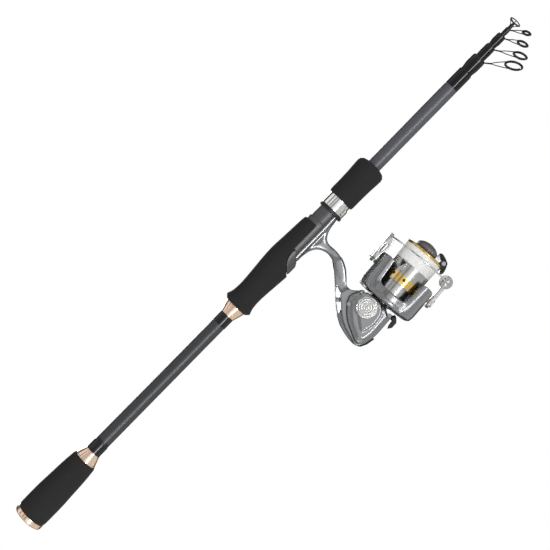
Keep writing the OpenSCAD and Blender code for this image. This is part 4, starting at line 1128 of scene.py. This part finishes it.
class ROD_OT_spool(bpy.types.Operator):
    """Builds the spool with its gold band and holes, the line, the lip, the clip and the drag knob"""
    bl_idname = "rod.spool"
    bl_label = "Spool"

    def execute(self, context):
        skirt = rounded([(54.6, 2.06, 0), (54.6, 17.6, 0.5), (53.5, 19.2, 0.4), (35.5, 19.2, 0),
                         (35.5, 20.05, 0.1), (35.7, 20.2, 0.1), (36.7, 20.2, 0), (36.75, 20.12, 0),
                         (44.9, 20.12, 0), (44.95, 20.2, 0), (56.9, 20.2, 0.1), (57, 20.1, 0), (57, 13, 0),
                         (76, 13, 0), (76, 9, 0), (66, 9, 0), (66, 2.06, 0)])
        band = (skirt[:, 1] > 19.9) & (skirt[:, 0] > 36.6) & (skirt[:, 0] < 44.93)
        body = piece("spool_body", [turned(skirt, REEL, 144, ring=True, finish=band * 1)], "spool",
                     ["turned_alloy", "gold_anodising"], ["spool"])
        shells = []
        # The holes are blind. Their walls and bottoms take the hole_shadow finish, painted shade in place of the
        # dark inside of a through hole.
        for turn in np.radians(2.5 + 36 * np.arange(10)):
            out = -math.cos(turn) * SIDE - math.sin(turn) * UP
            place = (REEL_AT + 41.5 * ALONG, np.array([out, ALONG, np.cross(out, ALONG)]))
            shells.append(turned([(19.5, 0), (19.5, 1.5), (22, 1.5), (22, 0)], place, 20))
        drill = piece("drill", shells, "spool", ["hole_shadow"])
        hollow = body.modifiers.new("Holes", "BOOLEAN")
        hollow.object, hollow.operation, hollow.solver = drill, "DIFFERENCE", "EXACT"
        hollow.material_mode = "TRANSFER"
        deps = context.evaluated_depsgraph_get()
        bored = bpy.data.meshes.new_from_object(body.evaluated_get(deps), depsgraph=deps)
        body.modifiers.clear()
        body.data = bored
        bored.set_sharp_from_angle(angle=math.radians(32))
        bpy.data.objects.remove(drill)
        ridges = np.arange(57.1, 73.1, 0.12)
        hill = 20.3 + 0.4 * (ridges - 57) / 16.2 + 0.035 * np.cos(TURN * ridges / 0.8)
        coil = [(57, 13), (57, 20.2), *np.stack([ridges, hill], -1), (73.2, 20.5), (73.2, 13)]
        piece("line_winding", [turned(coil, REEL, 128, ring=True)], "spool", ["wound_line"],
              ["line_fill"], sharp=60)
        lip = rounded([(73.2, 13, 0), (73.2, 20.3, 0.1), (73.8, 20.85, 0.3), (74.6, 20.85, 0.3), (75.3, 20.4, 0.4),
                       (76, 18.7, 0.3), (76, 13, 0)])
        piece("lip_ring", [turned(lip, REEL, 128, ring=True)], "spool", ["gold_anodising"], ["spool_lip"])
        turn = math.radians(31)
        place = (REEL_AT, np.array([ALONG, math.cos(turn) * SIDE - math.sin(turn) * UP,
                                    math.sin(turn) * SIDE + math.cos(turn) * UP]))
        rim = cast(clip_rim_solid, (46, -21.4, -5.4), (58.4, -18.4, 5.4), 0.2, place)
        piece("clip_surround", [rim], "spool", ["chrome_plate"], sharp=40)
        wedge = cast(clip_solid, (48.4, -21.4, -3.4), (56.8, -19.4, 3.4), 0.2, place)
        piece("clip_wedge", [wedge], "spool", ["black_nylon"], ["line_clip"], sharp=40)
        knob = rounded([(74.6, 6.6, 0), (74.6, 8.2, 0.1), (77.4, 8.2, 0), (77.4, 11.4, 0.2), (78.4, 12, 0.4),
                        (80.2, 11.7, 0.8), (81.8, 10.7, 0.4), (82.2, 9.8, 0.2), (82.7, 9.6, 0.2), (84.4, 6.4, 1.5),
                        (85.3, 2.5, 1), (85.4, 0, 0), (83, 0, 0), (83, 2.06, 0), (80, 2.06, 0), (80, 6.6, 0)])
        piece("drag_dial", [turned(knob, REEL, 192, ring=True, flutes=24, flute_from=10.5, flute_depth=0.3)],
              "drag_knob", ["knob_lacquer"], ["drag_knob"])
        return {"FINISHED"}


class ROD_OT_inside(bpy.types.Operator):
    """Gives the bearings, gears, shafts and screws their finishes"""
    bl_idname = "rod.inside"
    bl_label = "Works"

    def execute(self, context):
        for node, finish in NODE_FINISHES.items():
            held = frame["nodes"][node]
            material = FINISHES[finish]()
            if not held.material_slots:
                held.data.materials.append(material)
            for place in held.material_slots:
                place.material = material
        return {"FINISHED"}


# What a shiny surface sees, by the angle in degrees from the camera's side up towards +Z
PANELS = [(-180, 0.2), (-150, 0.05), (-105, 0.08), (-88, 0.7), (-77, 0.85), (-73, 0.1), (-61, 0.1),
          (-57, 0.5), (-20, 0.6), (-16, 0.9), (6, 0.9), (9, 0.1), (16, 0.1), (19, 0.7), (32, 0.65),
          (35, 0.1), (40, 0.1), (43, 0.8), (60, 0.95), (63, 0.12), (72, 0.12), (76, 1.0), (95, 0.95),
          (112, 0.08), (150, 0.05), (180, 0.2)]
# The bright strip: how far below the camera's side it lies, and half its width, full and faded out
STRIP_DOWN, STRIP_FULL, STRIP_OUT = (math.radians(a) for a in (38, 12, 16))
# The even light on matt surfaces, and the share of the strip that reaches them
MATT_LIGHT, MATT_STRIP = 0.6, 0.15
CAMERA_AT, CAMERA_ROLL, CAMERA_LENS = (0.33, -1.2, -0.0056), math.radians(45.52), 82.7


def studio_floor(scene):
    """A plain pale floor under the rod."""
    mesh = bpy.data.meshes.new("floor")
    mesh.from_pydata([(-1, -0.8, -0.5), (2, -0.8, -0.5), (2, 0.35, -0.5), (-1, 0.35, -0.5)], [],
                     [(0, 1, 2, 3)])
    floor = bpy.data.objects.new("floor", mesh)
    scene.collection.objects.link(floor)
    paint = bpy.data.materials.new("pale_floor")
    paint.use_nodes = True
    paint.node_tree.nodes.clear()
    coated(paint.node_tree, "#e4e4e2", "#ececea", 20.0, 0.8, lift=0.02)
    mesh.materials.append(paint)


def studio_light(scene):
    """Soft panels with dark gaps and one bright strip, as shiny surfaces see them. Matt surfaces get an
    even light instead, so that they stay flat and dark, and the camera itself sees plain white. A soft
    lamp behind the rod lights its far side."""
    world = bpy.data.worlds.new("studio")
    scene.world = world
    world.use_nodes = True
    tree = world.node_tree
    tree.nodes.clear()
    looked = add(tree, "TexCoord").outputs["Generated"]
    parts = add(tree, "SeparateXYZ", None, {0: looked}).outputs
    near = add(tree, "Math", {1: -1.0}, {0: parts[1]}, operation="MULTIPLY").outputs[0]
    angle = add(tree, "Math", None, {0: parts[2], 1: near}, operation="ARCTAN2").outputs[0]
    share = add(tree, "Math", {1: 1 / TURN, 2: 0.5}, {0: angle}, operation="MULTIPLY_ADD").outputs[0]
    ramp = add(tree, "ValToRGB", None, {0: share})
    stops = ramp.color_ramp.elements
    stops.remove(stops[1])
    for i, (degrees, level) in enumerate(PANELS):
        stop = stops[0] if i == 0 else stops.new(degrees / 360 + 0.5)
        stop.position = degrees / 360 + 0.5
        stop.color = (level, level, level, 1)
    off = add(tree, "Math", {1: STRIP_DOWN}, {0: angle}, operation="ADD").outputs[0]
    off = add(tree, "Math", None, {0: off}, operation="ABSOLUTE").outputs[0]
    wide = add(tree, "MapRange", {"From Min": STRIP_OUT, "From Max": STRIP_FULL}, {"Value": off}).outputs[0]
    aside = add(tree, "Math", None, {0: parts[0]}, operation="ABSOLUTE").outputs[0]
    long = add(tree, "MapRange", {"From Min": 0.75, "From Max": 0.6}, {"Value": aside}).outputs[0]
    strip = add(tree, "Math", None, {0: wide, 1: long}, operation="MULTIPLY").outputs[0]
    strip = add(tree, "Math", {1: scene.rod_sizes.strip}, {0: strip}, operation="MULTIPLY").outputs[0]
    light = add(tree, "Math", None, {0: ramp.outputs["Color"], 1: strip}).outputs[0]
    rays = add(tree, "LightPath").outputs
    soft = add(tree, "Math", {1: MATT_STRIP, 2: MATT_LIGHT}, {0: strip}, operation="MULTIPLY_ADD").outputs[0]
    light = add(tree, "Mix", None, {"Factor": rays["Is Diffuse Ray"], "A": light, "B": soft},
                data_type="FLOAT").outputs["Result"]
    level = add(tree, "Mix", {"B": 1.0}, {"Factor": rays["Is Camera Ray"], "A": light},
                data_type="FLOAT").outputs["Result"]
    glow = add(tree, "Background", {"Color": (1, 1, 1, 1)}, {"Strength": level}).outputs[0]
    add(tree, "OutputWorld", None, {"Surface": glow})

    lamp = bpy.data.lights.new("back_softbox", "AREA")
    lamp.shape, lamp.size, lamp.energy = "SQUARE", 0.9, 14.0
    held = bpy.data.objects.new("back_softbox", lamp)
    held.visible_camera = False
    held.matrix_world = Matrix.Translation((0.33, 1.5, 0.5)) @ Matrix.Rotation(math.radians(-72), 4, "X")
    scene.collection.objects.link(held)


def studio_camera(scene):
    """A long lens, square to the rod's side and rolled so that the rod climbs to the right."""
    camera = bpy.data.cameras.new("camera")
    camera.lens, camera.sensor_width, camera.clip_end = CAMERA_LENS, 36.0, 10.0
    viewer = bpy.data.objects.new("camera", camera)
    right = (math.cos(CAMERA_ROLL), 0, -math.sin(CAMERA_ROLL))
    up = (math.sin(CAMERA_ROLL), 0, math.cos(CAMERA_ROLL))
    turn = Matrix((right, up, (0, -1, 0))).transposed().to_4x4()
    viewer.matrix_world = Matrix.Translation(CAMERA_AT) @ turn
    scene.collection.objects.link(viewer)
    scene.camera = viewer
    scene.view_settings.view_transform = "Standard"


class ROD_OT_stage(bpy.types.Operator):
    """Sets up the floor, the studio light and the camera"""
    bl_idname = "rod.stage"
    bl_label = "Stage"

    def execute(self, context):
        studio_floor(context.scene)
        studio_light(context.scene)
        studio_camera(context.scene)
        return {"FINISHED"}


STEPS = (ROD_OT_stage, ROD_OT_butt, ROD_OT_blank, ROD_OT_grips, ROD_OT_seat, ROD_OT_sections, ROD_OT_guides,
         ROD_OT_reel_body, ROD_OT_crank, ROD_OT_rotor, ROD_OT_spool, ROD_OT_inside)


class ROD_PT_panel(bpy.types.Panel):
    """Lists the rod's colours, sizes and building steps"""
    bl_idname = "ROD_PT_panel"
    bl_label = "Rod and reel"
    bl_space_type = "VIEW_3D"
    bl_region_type = "UI"
    bl_category = "Rod"

    def draw(self, context):
        for group in (context.scene.rod_colours, context.scene.rod_sizes):
            for name in group.__annotations__:
                self.layout.prop(group, name)
        for step in STEPS:
            self.layout.operator(step.bl_idname)


CLASSES = (RodColours, RodSizes, *STEPS, ROD_PT_panel)


def register():
    """Adds the classes and the scene's settings."""
    for each in CLASSES:
        bpy.utils.register_class(each)
    bpy.types.Scene.rod_colours = PointerProperty(type=RodColours)
    bpy.types.Scene.rod_sizes = PointerProperty(type=RodSizes)


def unregister():
    """Takes them away again."""
    del bpy.types.Scene.rod_sizes
    del bpy.types.Scene.rod_colours
    for each in reversed(CLASSES):
        bpy.utils.unregister_class(each)


def main():
    """Builds everything."""
    register()
    for step in STEPS:
        group, name = step.bl_idname.split(".")
        getattr(getattr(bpy.ops, group), name)()


if __name__ == "__main__":
    main()
